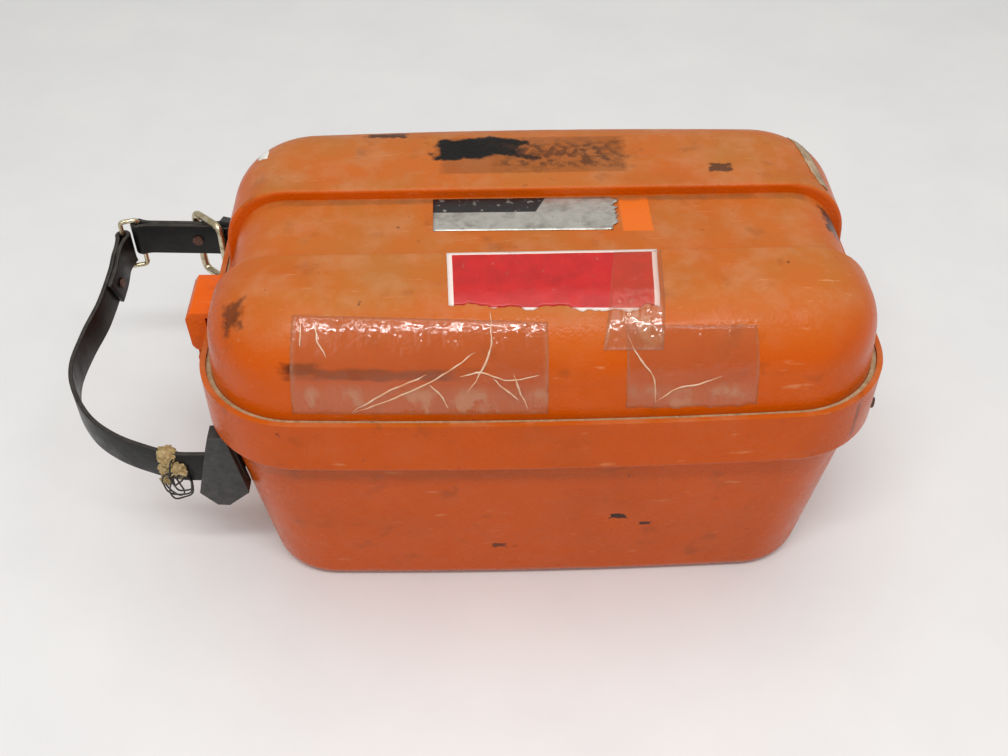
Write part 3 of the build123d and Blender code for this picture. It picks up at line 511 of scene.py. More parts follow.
@dataclass(frozen=True)
class PaperLabel:
    """Red-printed coated paper with an unprinted white border.

    The eye sees a flat red field inside a thin white line, rubbed through
    to grey paper in places.
    """

    name: str = "printed_coated_paper"
    border: Pair = (0.475, 0.445)

    def make(self) -> Material:
        """Builds the material."""
        s = Shading(self.name)
        masks = [s.out("ShaderNodeMath", {0: s.off_middle(share), 1: limit}, operation="GREATER_THAN")
                 for share, limit in zip(s.strip_shares(), self.border)]
        colour = s.blend(srgb("#BE0C08"), srgb("#AA0A08"), s.cloud(9.0, 0.4, 0.7))
        colour = s.blend(colour, srgb("#E9DED6"), s.scaled(s.larger(*masks), 0.9))
        colour = s.speckled(colour, Marks("#D9B9A8", 3.0, (0.68, 0.76), 7.0, 0.7))
        colour = s.speckled(colour, Marks("#7A4A3A", 6.0, (0.64, 0.76), 7.0, 0.6))
        s.feed({"Base Color": colour, "Roughness": s.between(s.cloud(8.0, 0.4, 0.7), 0.30, 0.50)})
        s.relief([(s.cloud(10.0, 0.3, 0.7, 2.0), 0.15)])
        return s.material


class Surface(Enum):
    """Which finish a CAD piece gets, by its slot in the record."""

    HINGE = "hinge_steel"
    PIN = "pin_steel"
    RIVET = "rivet_brown"
    FITTING = "black_fitting"
    PLATING = "ring_plating"
    SEAM = "seam_rubber"
    CRADLE = "cradle_plastic"
    PAD = "pad_foam"
    ENAMEL = "level_paint"
    CASTING = "level_aluminium"
    GRIP = "level_black"
    BRASS = "screw_brass"
    LENS = "lens_glass"
    VIAL = "vial_glass"
    WIRE = "repair_wire"
    TAPE = "repair_tape"


PLAIN_FINISHES = {
    # Zinc-plated mild steel: dull grey-brown, slightly streaked.
    Surface.HINGE: PlainFinish(
        "zinc_plated_steel", "#5C554C", "#3E3731", metallic=0.85, rough=(0.38, 0.55), mix_mm=6.0,
        grain_mm=(0.6, 0.01)),
    # Drawn steel pin: darker, smooth.
    Surface.PIN: PlainFinish(
        "drawn_steel_pin", "#6A655E", "#4A443D", metallic=0.9, rough=(0.30, 0.48), mix_mm=4.0,
        grain_mm=(0.5, 0.01)),
    # Browned steel rivet: matt brown with rubbed high spots.
    Surface.RIVET: PlainFinish(
        "browned_steel_rivet", "#4A3026", "#6B4A3A", metallic=0.45, rough=(0.38, 0.60), mix_mm=1.6,
        grain_mm=(0.5, 0.02)),
    # Nickel plating, yellowed and pitted: warm mirror with brown spots.
    Surface.PLATING: PlainFinish(
        "yellowed_nickel_plating", "#D6CDB4", "#AE9C74", metallic=1.0, rough=(0.16, 0.40), mix_mm=4.0,
        grain_mm=(0.7, 0.015), dirt="#4A3420", dirt_share=0.7),
    # Rubber gasket under dust: matt grey-tan.
    Surface.SEAM: PlainFinish(
        "dusty_rubber_gasket", "#B89C78", "#967A56", rough=(0.80, 0.95), mix_mm=3.0,
        grain_mm=(0.5, 0.05), dirt="#4A3524", dirt_share=0.6),
    # Vacuum-formed ABS insert: dark grey, low sheen, pebbled.
    Surface.CRADLE: PlainFinish(
        "vacuum_formed_abs", "#2B2B2C", "#353434", rough=(0.50, 0.62), mix_mm=9.0, grain_mm=(0.8, 0.05)),
    # Closed-cell foam: matt, finely pitted.
    Surface.PAD: PlainFinish(
        "closed_cell_foam", "#2F3033", "#3B3B3D", rough=(0.85, 0.95), mix_mm=5.0, grain_mm=(0.6, 0.12)),
    # Stoved enamel on a casting: grey-green, half gloss, fine orange peel.
    Surface.ENAMEL: PlainFinish(
        "stoved_enamel_casting", "#8D9A92", "#84918A", rough=(0.28, 0.38), mix_mm=20.0,
        grain_mm=(1.4, 0.02), dirt="#5A5348", dirt_share=0.12),
    # Satin machined aluminium.
    Surface.CASTING: PlainFinish(
        "satin_machined_aluminium", "#B9BABB", "#A2A3A4", metallic=1.0, rough=(0.30, 0.42), mix_mm=7.0,
        grain_mm=(0.5, 0.008), dirt_share=0.1),
    # Black anodised and knurled grips.
    Surface.GRIP: PlainFinish(
        "black_anodised_aluminium", "#1C1C1E", "#262628", metallic=0.35, rough=(0.32, 0.45),
        mix_mm=6.0, grain_mm=(0.5, 0.01), dirt_share=0.1),
    # Satin turned brass.
    Surface.BRASS: PlainFinish(
        "turned_brass", "#C9A35A", "#A88243", metallic=1.0, rough=(0.25, 0.40), mix_mm=5.0,
        grain_mm=(0.5, 0.008), dirt="#5A4020", dirt_share=0.25),
    # Coated optical glass: clear with a faint blue bloom.
    Surface.LENS: PlainFinish(
        "coated_optical_glass", "#DDE6F5", "#CFE0F0", rough=(0.02, 0.05), mix_mm=9.0,
        grain_mm=(5.0, 0.001), dirt_share=0.0, ior=1.52, alpha=0.45, transmission=0.6),
    # Vial glass over tinted spirit.
    Surface.VIAL: PlainFinish(
        "tinted_spirit_vial", "#CFE89A", "#C4DE8C", rough=(0.02, 0.06), mix_mm=9.0,
        grain_mm=(5.0, 0.001), dirt_share=0.0, ior=1.47, alpha=0.6, transmission=0.4),
    # Enamelled copper wire: thin, glossy black.
    Surface.WIRE: PlainFinish(
        "enamelled_wire", "#1B1816", "#2A2420", rough=(0.25, 0.40), mix_mm=3.0, grain_mm=(0.5, 0.01)),
    # Yellowed masking tape: crumpled tan paper.
    Surface.TAPE: PlainFinish(
        "yellowed_masking_tape", "#C9B183", "#9A7E4C", rough=(0.65, 0.85), mix_mm=3.0,
        grain_mm=(0.8, 0.25), dirt="#4A3A20", dirt_share=0.6),
}

# Marks on the tub, and one band of painted shadow under the collar
TUB_STAINS_AND_SHADE = (
    StainOrShade("#1E1310", Blot((34.9, -79.4, 51.2), (4.0, 6.0, 1.8), 0.95, 0.9, 0.1, 3.0)),
    StainOrShade("#1E1310", Blot((48.1, -78.3, 44.4), (2.6, 6.0, 1.2), 0.9, 0.9, 0.1, 3.0)),
    StainOrShade("#3A2418", Blot((-19.6, -76.6, 28.1), (3.0, 6.0, 1.6), 0.8, 0.9, 0.2, 3.0)),
    StainOrShade("#5A2A14", Blot((133.0, -78.0, 112.0), (1.0, 9.0, 9.0), 0.55, 0.8, 0.3, 4.0)),
    # Painted shadow: a soft darker band on the tub's front just under the collar band
    StainOrShade("#8E4A22", Blot((-60.0, -84.0, 88.0), (80.0, 14.0, 4.0), 0.35, 0.6, 0.5, 9.0)),
)

# Marks on the lid, and one patch of painted shade in the groove's right end
LID_STAINS_AND_SHADE = (
    StainOrShade("#8A4A1C", Blot((-1.0, 42.0, 168.0), (42.5, 15.0, 6.0), 0.62, 0.06, 0.04, 3.0)),
    StainOrShade("#0E0B0A", Blot((-24.0, 48.0, 168.0), (21.0, 8.0, 6.0), 1.0, 0.9, 0.12, 9.0)),
    StainOrShade("#3A2012", Blot((12.0, 42.0, 168.0), (26.0, 10.0, 6.0), 0.7, 0.8, 0.3, 6.0), broken_mm=4.0),
    StainOrShade("#1E1410", Blot((-70.0, 62.0, 166.0), (9.0, 3.0, 5.0), 0.85, 0.9, 0.2, 4.0)),
    StainOrShade("#DE6A1C", Blot((43.0, 0.5, 164.0), (6.6, 12.6, 2.0), 0.9, 0.05, 0.05, 3.0)),
    StainOrShade("#5A2410", Blot((-68.0, -83.3, 146.5), (34.0, 8.0, 2.4), 0.8, 0.9, 0.35, 9.0)),
    StainOrShade("#4A1C0C", Blot((-99.9, -81.0, 149.0), (7.0, 8.0, 2.2), 0.8, 0.7, 0.3, 5.0)),
    # Painted shade: a dark patch in the groove where it turns down the lid's right end
    StainOrShade("#2A1810", Blot((133.4, 1.0, 155.0), (5.0, 9.0, 4.5), 0.9, 0.7, 0.2, 4.0)),
    StainOrShade("#3A2014", Blot((-127.9, -60.9, 160.0), (4.0, 5.0, 6.0), 0.7, 0.9, 0.3, 3.0)),
    StainOrShade("#6E4A30", Blot((0.0, 12.6, 164.2), (115.0, 1.8, 1.2), 0.55, 0.8, 0.5, 7.0)),
    StainOrShade("#6E4A30", Blot((0.0, -28.6, 164.2), (120.0, 1.8, 1.2), 0.5, 0.8, 0.5, 7.0)),
    StainOrShade("#33201A", Blot((85.0, 29.0, 169.0), (5.0, 3.0, 3.0), 0.8, 0.9, 0.2, 3.0)),
)

TAPE_GLOSS = (
    Blot((-52.0, -80.0, 144.0), (50.0, 14.0, 22.0), 0.55, 0.02, 0.02),
    Blot((58.0, -80.0, 144.0), (27.0, 14.0, 19.0), 0.5, 0.02, 0.02),
)


# Mesh helpers

def placed(name: str, data: bpy.types.ID) -> bpy.types.Object:
    """Makes an object from its data and puts it in the scene."""
    obj = bpy.data.objects.new(name, data)
    bpy.context.scene.collection.objects.link(obj)
    return obj


def mesh_piece(name: str, points: list[Vector], faces: list[Face], material: Material,
               body: str, slot: str, uvs: list[Pair] | None = None) -> bpy.types.Object:
    """Makes a smooth mesh object that rides on a body.

    Args:
        name: the piece's name.
        points: vertex places in metres.
        faces: vertex numbers of each face.
        material: its finish.
        body: the CAD body it moves with.
        slot: the record's material slot; not used.
        uvs: one UV per vertex, kept as the map "strip".

    Returns:
        The new object.
    """
    mesh = bpy.data.meshes.new(name)
    mesh.from_pydata([tuple(p) for p in points], [], faces)
    work = bmesh.new()
    work.from_mesh(mesh)
    bmesh.ops.recalc_face_normals(work, faces=work.faces)
    work.to_mesh(mesh)
    work.free()
    for polygon in mesh.polygons:
        polygon.use_smooth = True
    if uvs is not None:
        layer = mesh.uv_layers.new(name="strip")
        for loop in mesh.loops:
            layer.data[loop.index].uv = uvs[loop.vertex_index]
    mesh.materials.append(material)
    obj = placed(name, mesh)
    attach(obj, body)
    log.info("%s: %d faces", name, len(mesh.polygons))
    return obj


def tube_faces(first: int, rings: int, sides: int, closed: bool) -> list[Face]:
    """Faces that join rings of vertices into a tube.

    Args:
        first: number of the first ring's first vertex.
        rings: how many rings there are.
        sides: vertices in each ring.
        closed: whether the last ring joins the first; if not, both ends get a face.

    Returns:
        The faces.
    """
    faces = []
    for i in range(rings if closed else rings - 1):
        here, there = first + i * sides, first + (i + 1) % rings * sides
        for k in range(sides):
            m = (k + 1) % sides
            faces.append((here + k, there + k, there + m, here + m))
    if not closed:
        last = first + (rings - 1) * sides
        faces.append(tuple(range(first, first + sides)))
        faces.append(tuple(reversed(range(last, last + sides))))
    return faces


def smooth_route(points: list[Vector], steps: int) -> list[Vector]:
    """Points along a smooth curve through a route.

    Args:
        points: the route.
        steps: how many points each span gets.

    Returns:
        The curve's points.
    """
    out = []
    last = len(points) - 1
    for i in range(last):
        p0, p1 = points[max(i - 1, 0)], points[i]
        p2, p3 = points[i + 1], points[min(i + 2, last)]
        for k in range(steps):
            t = k / steps
            out.append(0.5 * (2 * p1 + (p2 - p0) * t + (2 * p0 - 5 * p1 + 4 * p2 - p3) * t * t
                              + (3 * p1 - p0 - 3 * p2 + p3) * t ** 3))
    out.append(points[last].copy())
    return out


def rounded_section(thickness: float, width: float, radius: float) -> list[Pair]:
    """Closed outline of a strap's cut.

    Args:
        thickness: size along the first axis.
        width: size along the second axis.
        radius: rounding of the corners.

    Returns:
        The outline's points.
    """
    out = []
    for cx, cy, start in ((1, 1, 0), (-1, 1, 90), (-1, -1, 180), (1, -1, 270)):
        for k in range(4):
            a = math.radians(start + 30 * k)
            out.append((cx * (thickness / 2 - radius) + radius * math.cos(a),
                        cy * (width / 2 - radius) + radius * math.sin(a)))
    return out


@dataclass
class Strip:
    """A flat strap that stands on edge and follows a line, with rounded cut edges."""

    name: str
    thickness: float
    width: float
    material: Material
    body: str = "case"
    slot: str = "strap_leather"
    edge_radius: float = 0.7 * MM

    def build(self, line: list[Vector], closed: bool = False) -> bpy.types.Object:
        """Sweeps the strap's section along a line.

        Args:
            line: centre line of the strap.
            closed: whether the line's end joins its start.

        Returns:
            The strap.
        """
        section = rounded_section(self.thickness, self.width, self.edge_radius)
        points, uvs = [], []
        total = len(line)
        run = 0.0
        for i, here in enumerate(line):
            before = line[(i - 1) % total] if closed else line[max(i - 1, 0)]
            after = line[(i + 1) % total] if closed else line[min(i + 1, total - 1)]
            along = (after - before).normalized()
            side = Vector((along.y, -along.x, 0)).normalized()
            up = side.cross(along).normalized()
            up = up if up.z > 0 else -up
            run += (here - line[i - 1]).length if i else 0.0
            for a, b in section:
                points.append(here + side * a + up * b)
                uvs.append((run / self.width, b / self.width + 0.5))
        faces = tube_faces(0, total, len(section), closed)
        return mesh_piece(self.name, points, faces, self.material, self.body, self.slot, uvs)


def across_quad(u: float, v: float, corners: list[float]) -> float:
    """Value at two shares of a quad, from the values at its four corners."""
    first, second, third, fourth = corners
    return (1 - u) * (1 - v) * first + u * (1 - v) * second + u * v * third + (1 - u) * v * fourth


@dataclass
class DrapedPatch:
    """A thin label or tape that lies on the lid's outside.

    Its corners are given on the lid; points between them are found by rays
    that run in to a line inside the lid. The edges can be torn, the film can
    ripple, and the end at u = 1 can curl up.
    """

    name: str
    corners: tuple[Triple, ...]
    material: Material
    slot: str = "lid_orange"
    lift: float = 0.16 * MM
    cell: float = 1.6 * MM
    ripple: float = 0.0
    torn: tuple[float, float, float, float] = (0, 0, 0, 0)
    curl: float = 0.0
    axis_y: float = -8.0 * MM
    axis_z: float = 112.0 * MM
    reach: float = 0.14
    underside: float = 0.04 * MM
    finer_down: float = 1.15
    ripple_scale: float = 120.0
    ripple_level: float = 0.15
    curl_length: float = 0.1
    tear_scales: Pair = (9.0, 31.0)

    def to_polar(self, place: Triple) -> Pair:
        """X and angle of a corner about the line inside the lid."""
        x, y, z = (c * MM for c in place)
        return x, math.atan2(z - self.axis_z, y - self.axis_y)

    def build(self, ground: BVHTree) -> bpy.types.Object:
        """Lays the patch on the lid.

        Args:
            ground: the lid's surface.

        Returns:
            The patch, a closed thin shell.
        """
        places, angles = zip(*(self.to_polar(c) for c in self.corners))
        first, second, _, fourth = (Vector(c) * MM for c in self.corners)
        across = max(2, int((second - first).length / self.cell))
        down = max(2, int((fourth - first).length / self.cell * self.finer_down))
        tops, lows, uvs = [], [], []
        for j in range(down + 1):
            for i in range(across + 1):
                u, v = i / across, j / down
                u = self.tear(u, v, self.torn[0], self.torn[1], 1.3)
                v = self.tear(v, u, self.torn[2], self.torn[3], 7.7)
                angle = across_quad(u, v, angles)
                out = Vector((0, math.cos(angle), math.sin(angle)))
                start = Vector((across_quad(u, v, places), self.axis_y, self.axis_z)) + out * self.reach
                hit, normal, _, _ = ground.ray_cast(start, -out)
                if hit is None:
                    hit, normal = start - out * self.reach * 0.6, out
                wave = self.ripple * max(0.0, noise.noise(hit * self.ripple_scale) + self.ripple_level)
                rise = self.curl * (max(0.0, u - 1 + self.curl_length) / self.curl_length) ** 2
                tops.append(hit + normal * (self.lift + wave + rise))
                lows.append(hit + normal * (self.underside + (wave + rise) * 0.7))
                uvs.append((u, v))
        row = across + 1
        size = len(tops)
        faces = []
        for j in range(down):
            for i in range(across):
                a = j * row + i
                quad = (a, a + 1, a + row + 1, a + row)
                faces.append(quad)
                faces.append(tuple(size + k for k in reversed(quad)))
        rim = (list(range(across)) + [across + j * row for j in range(down)]
               + [down * row + across - i for i in range(across)] + [(down - j) * row for j in range(down)])
        for a, b in zip(rim, rim[1:] + rim[:1]):
            faces.append((a, size + a, size + b, b))
        return mesh_piece(self.name, tops + lows, faces, self.material, "lid", self.slot, uvs * 2)

    def tear(self, along: float, other: float, low: float, high: float, seed: float) -> float:
        """Pulls a share in from a torn edge.

        Args:
            along: the share across the torn edges.
            other: the share along them.
            low: depth of the tear at 0.
            high: depth of the tear at 1.
            seed: picks the tear's shape.

        Returns:
            The moved share.
        """
        coarse, fine = self.tear_scales
        ragged = max(0.0, 0.5 + noise.noise(Vector((other * coarse, seed, 0.3)))
                     + 0.4 * noise.noise(Vector((other * fine, seed, 2.1))))
        start = low * ragged
        end = 1.0 - high * ragged
        return start + along * (end - start)


@dataclass
class RepairWad:
    """Crumpled tape wound round the strap, with a thin wire twisted over it."""

    # Each lump's middle and radius in millimetres
    lumps: tuple[tuple[float, ...], ...] = (
        (-170.5, -60.5, 77.5, 7.6), (-166.0, -62.0, 70.5, 6.8), (-172.0, -61.0, 70.0, 6.0),
        (-173.0, -61.5, 64.0, 5.0))
    squash: Triple = (0.85, 0.78, 1.0)
    crumple: float = 0.62
    fold_height: float = 0.62
    fold_scale: float = 1.5
    # Falloff, lacunarity, octaves, offset and gain of the folds' noise
    folds: tuple[float, ...] = (0.7, 2.3, 4, 0.85, 2.2)
    # Each loop's middle and radius in millimetres, and its turn about Z in radians
    loops: tuple[tuple[float, ...], ...] = (
        (-168.0, -64.5, 63.5, 9.0, 0.2), (-166.5, -65.0, 61.5, 8.0, 0.7), (-169.5, -64.5, 62.5, 7.4, -0.5),
        (-167.0, -63.0, 70.5, 8.6, 1.3), (-165.0, -65.0, 64.0, 6.0, 0.0))
    loop_width: float = 0.72
    kink: float = 1.0 * MM
    kink_scale: float = 160.0
    wire: float = 0.42 * MM
    wire_sides: int = 6
    turns: int = 40

    def build(self, paper: Material, enamel: Material) -> None:
        """Builds the wad and the wire.

        Args:
            paper: the tape's finish.
            enamel: the wire's finish.
        """
        wad = mesh_piece("crumpled_tape_wad", *self.crumpled(), paper, "case", "repair_tape")
        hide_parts("repair_tape")
        wires = mesh_piece("twisted_wire", *self.twisted(), enamel, "case", "repair_wire")
        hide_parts("repair_wire")

    def crumpled(self) -> tuple[list[Vector], list[Face]]:
        """Vertices and faces of the tape's lumps."""
        work = bmesh.new()
        for x, y, z, size in self.lumps:
            made = bmesh.ops.create_icosphere(work, subdivisions=4, radius=size * MM)
            for vertex in made["verts"]:
                out = vertex.co.normalized()
                fold = noise.ridged_multi_fractal(out * self.fold_scale + Vector((x, y, z)), *self.folds)
                vertex.co = vertex.co * (1 - self.crumple + self.crumple * self.fold_height * fold)
                vertex.co *= Vector(self.squash)
                vertex.co += Vector((x, y, z)) * MM
        work.verts.index_update()
        points = [v.co.copy() for v in work.verts]
        faces = [tuple(v.index for v in f.verts) for f in work.faces]
        work.free()
        return points, faces

    def twisted(self) -> tuple[list[Vector], list[Face]]:
        """Vertices and faces of the wire's kinked loops."""
        points, faces = [], []
        for x, y, z, size, turn in self.loops:
            faces += tube_faces(len(points), self.turns, self.wire_sides, True)
            turned = Matrix.Rotation(turn, 3, "Z")
            side = turned @ Vector((0, 1, 0))
            for i in range(self.turns):
                a = 2 * math.pi * i / self.turns
                flat = Vector((math.cos(a) * size * self.loop_width, 0,
                               math.sin(a) * size * (1 + 0.2 * math.cos(2 * a + turn))))
                here = (turned @ flat + Vector((x, y, z))) * MM
                out = (turned @ Vector((math.cos(a), 0, math.sin(a)))).normalized()
                here += noise.noise_vector(here * self.kink_scale) * self.kink
                for k in range(self.wire_sides):
                    b = 2 * math.pi * k / self.wire_sides
                    points.append(here + out * (self.wire * math.cos(b)) + side * (self.wire * math.sin(b)))
        return points, faces


@dataclass
class TapeCreases:
    """Raised creases where the clear tape gathered: thin tapered ridges on the lid."""

    lines: tuple[tuple[Triple, ...], ...] = (
        ((-80.7, -84.5, 127.6), (-65.1, -84.0, 138.7), (-49.1, -83.1, 147.0)),
        ((-80.3, -84.5, 127.1), (-54.1, -84.2, 139.8), (-29.1, -79.7, 155.4)),
        ((-22.8, -67.7, 166.0), (-23.5, -79.3, 156.0), (-28.1, -83.7, 146.0), (-33.1, -84.8, 137.6)),
        ((-92.9, -70.0, 164.5), (-92.3, -76.5, 160.0), (-89.0, -80.0, 154.0)),
        ((-98.7, -70.0, 164.0), (-99.3, -78.0, 158.0)),
        ((31.7, -76.5, 160.0), (36.9, -81.7, 151.7), (42.5, -84.0, 144.0), (44.5, -85.0, 131.0)),
        ((44.5, -85.0, 131.0), (53.0, -84.8, 138.0), (62.0, -84.5, 140.0), (70.5, -84.2, 143.5)),
        ((-48.0, -84.2, 142.0), (-43.5, -84.6, 136.5), (-41.0, -84.8, 130.0)),
        ((-22.5, -84.0, 145.0), (-17.0, -84.5, 139.0), (-12.0, -84.8, 133.5)),
        ((-14.0, -83.5, 147.0), (-11.5, -84.8, 138.0), (-8.0, -85.0, 129.0)),
        ((-36.0, -83.6, 146.0), (-27.0, -83.4, 147.5), (-16.0, -84.0, 144.0), (-4.0, -83.6, 146.0)),
    )
    width: float = 0.55 * MM
    base: float = 0.30 * MM
    wander: float = 0.5 * MM
    wander_scale: float = 260.0
    rough_scale: float = 400.0
    flatness: float = 0.8
    sides: int = 6
    steps: int = 10

    def build(self, ground: BVHTree, film: Material) -> None:
        """Lays each crease on the lid.

        Args:
            ground: the lid's surface.
            film: the creases' material.
        """
        points, faces = [], []
        for line in self.lines:
            route = smooth_route([Vector(p) * MM for p in line], self.steps)
            last = len(route) - 1
            faces += tube_faces(len(points), len(route), self.sides, False)
            for i, place in enumerate(route):
                wobble = noise.noise_vector(place * self.wander_scale) * self.wander
                near, normal, _, _ = ground.find_nearest(place + wobble)
                along = (route[min(i + 1, last)] - route[max(i - 1, 0)]).normalized()
                side = normal.cross(along).normalized()
                taper = 0.15 + 0.85 * math.sin(math.pi * (i + 0.35) / (last + 0.7))
                half = self.width * taper * (0.75 + 0.5 * noise.noise(place * self.rough_scale))
                for k in range(self.sides):
                    a = 2 * math.pi * k / self.sides
                    high = self.base + half * self.flatness * math.sin(a)
                    points.append(near + normal * high + side * (half * math.cos(a)))
        mesh_piece("tape_creases", points, faces, film, "lid", "lid_orange")


# CAD pieces

WELD = 0.01 * MM
FLAT = math.radians(1.0)
CORNER = math.radians(28.0)


def surface_of(node: str) -> BVHTree:
    """Search tree of a CAD node's surface, in the row frame."""
    mesh = frame["nodes"][node].data
    return BVHTree.FromPolygons([v.co.copy() for v in mesh.vertices],
                                [tuple(p.vertices) for p in mesh.polygons])


def dress_node(node: str, material: Material) -> None:
    """Gives a CAD node a material in place of its own."""
    mesh = frame["nodes"][node].data
    mesh.materials.clear()
    mesh.materials.append(material)


def softened(node: str, name: str, body: str, edge: float) -> bpy.types.Object:
    """Covers a CAD piece with a copy whose edges are rounded as a mould leaves them.

    Args:
        node: the CAD node.
        name: the copy's name.
        body: the body it rides on.
        edge: width of the rounding.

    Returns:
        The copy.
    """
    source = frame["nodes"][node]
    work = bmesh.new()
    work.from_mesh(source.data)
    bmesh.ops.remove_doubles(work, verts=work.verts, dist=WELD)
    bmesh.ops.dissolve_limit(work, angle_limit=FLAT, verts=work.verts, edges=work.edges)
    mesh = bpy.data.meshes.new(name)
    work.to_mesh(mesh)
    work.free()
    mesh.materials.clear()
    mesh.materials.append(source.data.materials[0])
    obj = placed(name, mesh)
    rounding = obj.modifiers.new("rounding", "BEVEL")
    rounding.width = edge
    rounding.segments = 3
    rounding.limit_method = "ANGLE"
    rounding.angle_limit = CORNER
    rounding.harden_normals = True
    for polygon in mesh.polygons:
        polygon.use_smooth = True
    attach(obj, body)
    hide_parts(node)
    log.info("%s: rounded copy of %s", name, node)
    return obj


# Sub-assemblies

@dataclass
class CaseMouldings:
    """Tub, lid and latch lever, dressed as one family of orange mouldings."""

    tub: MouldedPolypropylene = MouldedPolypropylene(
        "moulded_polypropylene_tub", "#C24E00", "#B86828", 0.5, "#A04202", TUB_STAINS_AND_SHADE,
        fade_low_mm=60.0, fade_high_mm=125.0)
    lid: MouldedPolypropylene = MouldedPolypropylene(
        "moulded_polypropylene_lid", "#C85200", "#AE692C", 0.95, "#A84400", LID_STAINS_AND_SHADE, TAPE_GLOSS)
    lever: MouldedPolypropylene = MouldedPolypropylene(
        "moulded_polypropylene_lever", "#DC5C00", "#CC6C20", 0.3, "#C44C00")

    def dress(self) -> None:
        """Gives each moulding its material."""
        for node, finish in (("base_tub", self.tub), ("lid_shell", self.lid), ("latch_lever", self.lever)):
            dress_node(node, finish.make())


@dataclass
class PlainPieces:
    """Every CAD piece whose shape is right and only needs its finish."""

    def dress(self) -> dict[str, Material]:
        """Gives each piece the finish of its slot.

        Returns:
            The finishes by slot.
        """
        made = {kind.value: finish.make() for kind, finish in PLAIN_FINISHES.items()}
        made[Surface.FITTING.value] = CrinklePaint().make()
        for part in frame["record"]["subparts"]:
            if part["material_slot"] in made:
                dress_node(part["node"], made[part["material_slot"]])
        return made


@dataclass
class StrapLoop:
    """The two straps that make the carrying loop, each a folded strip of leather."""

    width: float = 17.6 * MM
    thickness: float = 2.3 * MM
    eye_bar: Triple = (-154.966, 60.644, 110.0)
    near_bar: Triple = (-199.5, 63.0, 110.0)
    eye_bend: float = 3.15 * MM
    ring_bend: float = 2.75 * MM
    lap: float = 1.2 * MM
    tail: float = 28.0 * MM
    eye_ramp: float = 7.0 * MM
    ring_ramp: float = 6.0 * MM
    fold_ramp: float = 9.0 * MM
    steps: int = 24
    bend_steps: int = 9
    # The long strap's middle line, from the ring's far bar to the clamp
    route: tuple[Triple, ...] = (
        (-207.845, 60.919, 104.5), (-209.0, 52.5, 102.0), (-210.5, 43.0, 96.5), (-214.5, 27.0, 89.0),
        (-220.5, 10.0, 82.5), (-222.5, -8.0, 79.5), (-218.5, -23.0, 77.0), (-208.5, -38.0, 74.0),
        (-195.0, -48.5, 72.5), (-179.0, -56.0, 72.0), (-167.0, -59.6, 71.6), (-157.0, -60.3, 71.5),
        (-143.5, -60.3, 71.5))

    def build(self, leather: Material) -> None:
        """Builds both straps."""
        for name, node, line, closed in (("short_strap_leather", "short_strap", self.belt(), True),
                                         ("long_strap_leather", "long_strap", self.folded(), False)):
            strap = Strip(name, self.thickness, self.width, leather).build(line, closed)
            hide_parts(node)

    def spread(self, bend: float, run: float, ramp: float) -> float:
        """How much wider than its lap a strap lies, near a bend.

        Args:
            bend: the distance from the middle line at the bend.
            run: length from the bend.
            ramp: length over which it comes down to the lap.

        Returns:
            What comes on top of the lap.
        """
        return (bend - self.lap) * max(0.0, 1 - run / ramp) ** 2

    def belt(self) -> list[Vector]:
        """Closed line round the eye's bar and the ring's near bar."""
        start = Vector(self.eye_bar) * MM
        end = Vector(self.near_bar) * MM
        along = (end - start).normalized()
        side = Vector((-along.y, along.x, 0))
        run = (end - start).length
        line = []
        for layer, bend, centre in ((1, self.ring_bend, end), (-1, self.eye_bend, start)):
            for k in range(self.steps):
                share = k / self.steps if layer > 0 else 1 - k / self.steps
                off = self.lap + self.spread(self.eye_bend, share * run, self.eye_ramp)
                off += self.spread(self.ring_bend, (1 - share) * run, self.ring_ramp)
                line.append(start + along * (share * run) + side * (off * layer))
            for k in range(self.bend_steps):
                a = math.pi * k / self.bend_steps
                line.append(centre + side * (bend * math.cos(a) * layer)
                            + along * (bend * math.sin(a) * layer))
        return line

    def folded(self) -> list[Vector]:
        """Line from the tail's end, round the ring's far bar and on to the clamp."""
        middle = smooth_route([Vector(p) * MM for p in self.route], 10)
        runs = [0.0]
        for here, there in zip(middle, middle[1:]):
            runs.append(runs[-1] + (there - here).length)
        main, tail = [], []
        for i, here in enumerate(middle):
            after = middle[min(i + 1, len(middle) - 1)]
            before = middle[max(i - 1, 0)]
            along = after - before
            side = Vector((along.y, -along.x, 0)).normalized()
            off = self.lap + self.spread(self.ring_bend, runs[i], self.fold_ramp)
            main.append(here + side * off)
            if runs[i] <= self.tail:
                tail.append(here - side * off)
        first = middle[1] - middle[0]
        side = Vector((first.y, -first.x, 0)).normalized()
        away = -Vector((first.x, first.y, 0)).normalized()
        bend = []
        for k in range(1, self.bend_steps + 1):
            a = math.pi * k / (self.bend_steps + 1)
            bend.append(middle[0] - side * (self.ring_bend * math.cos(a))
                        + away * (self.ring_bend * math.sin(a)))
        return list(reversed(tail)) + bend + main


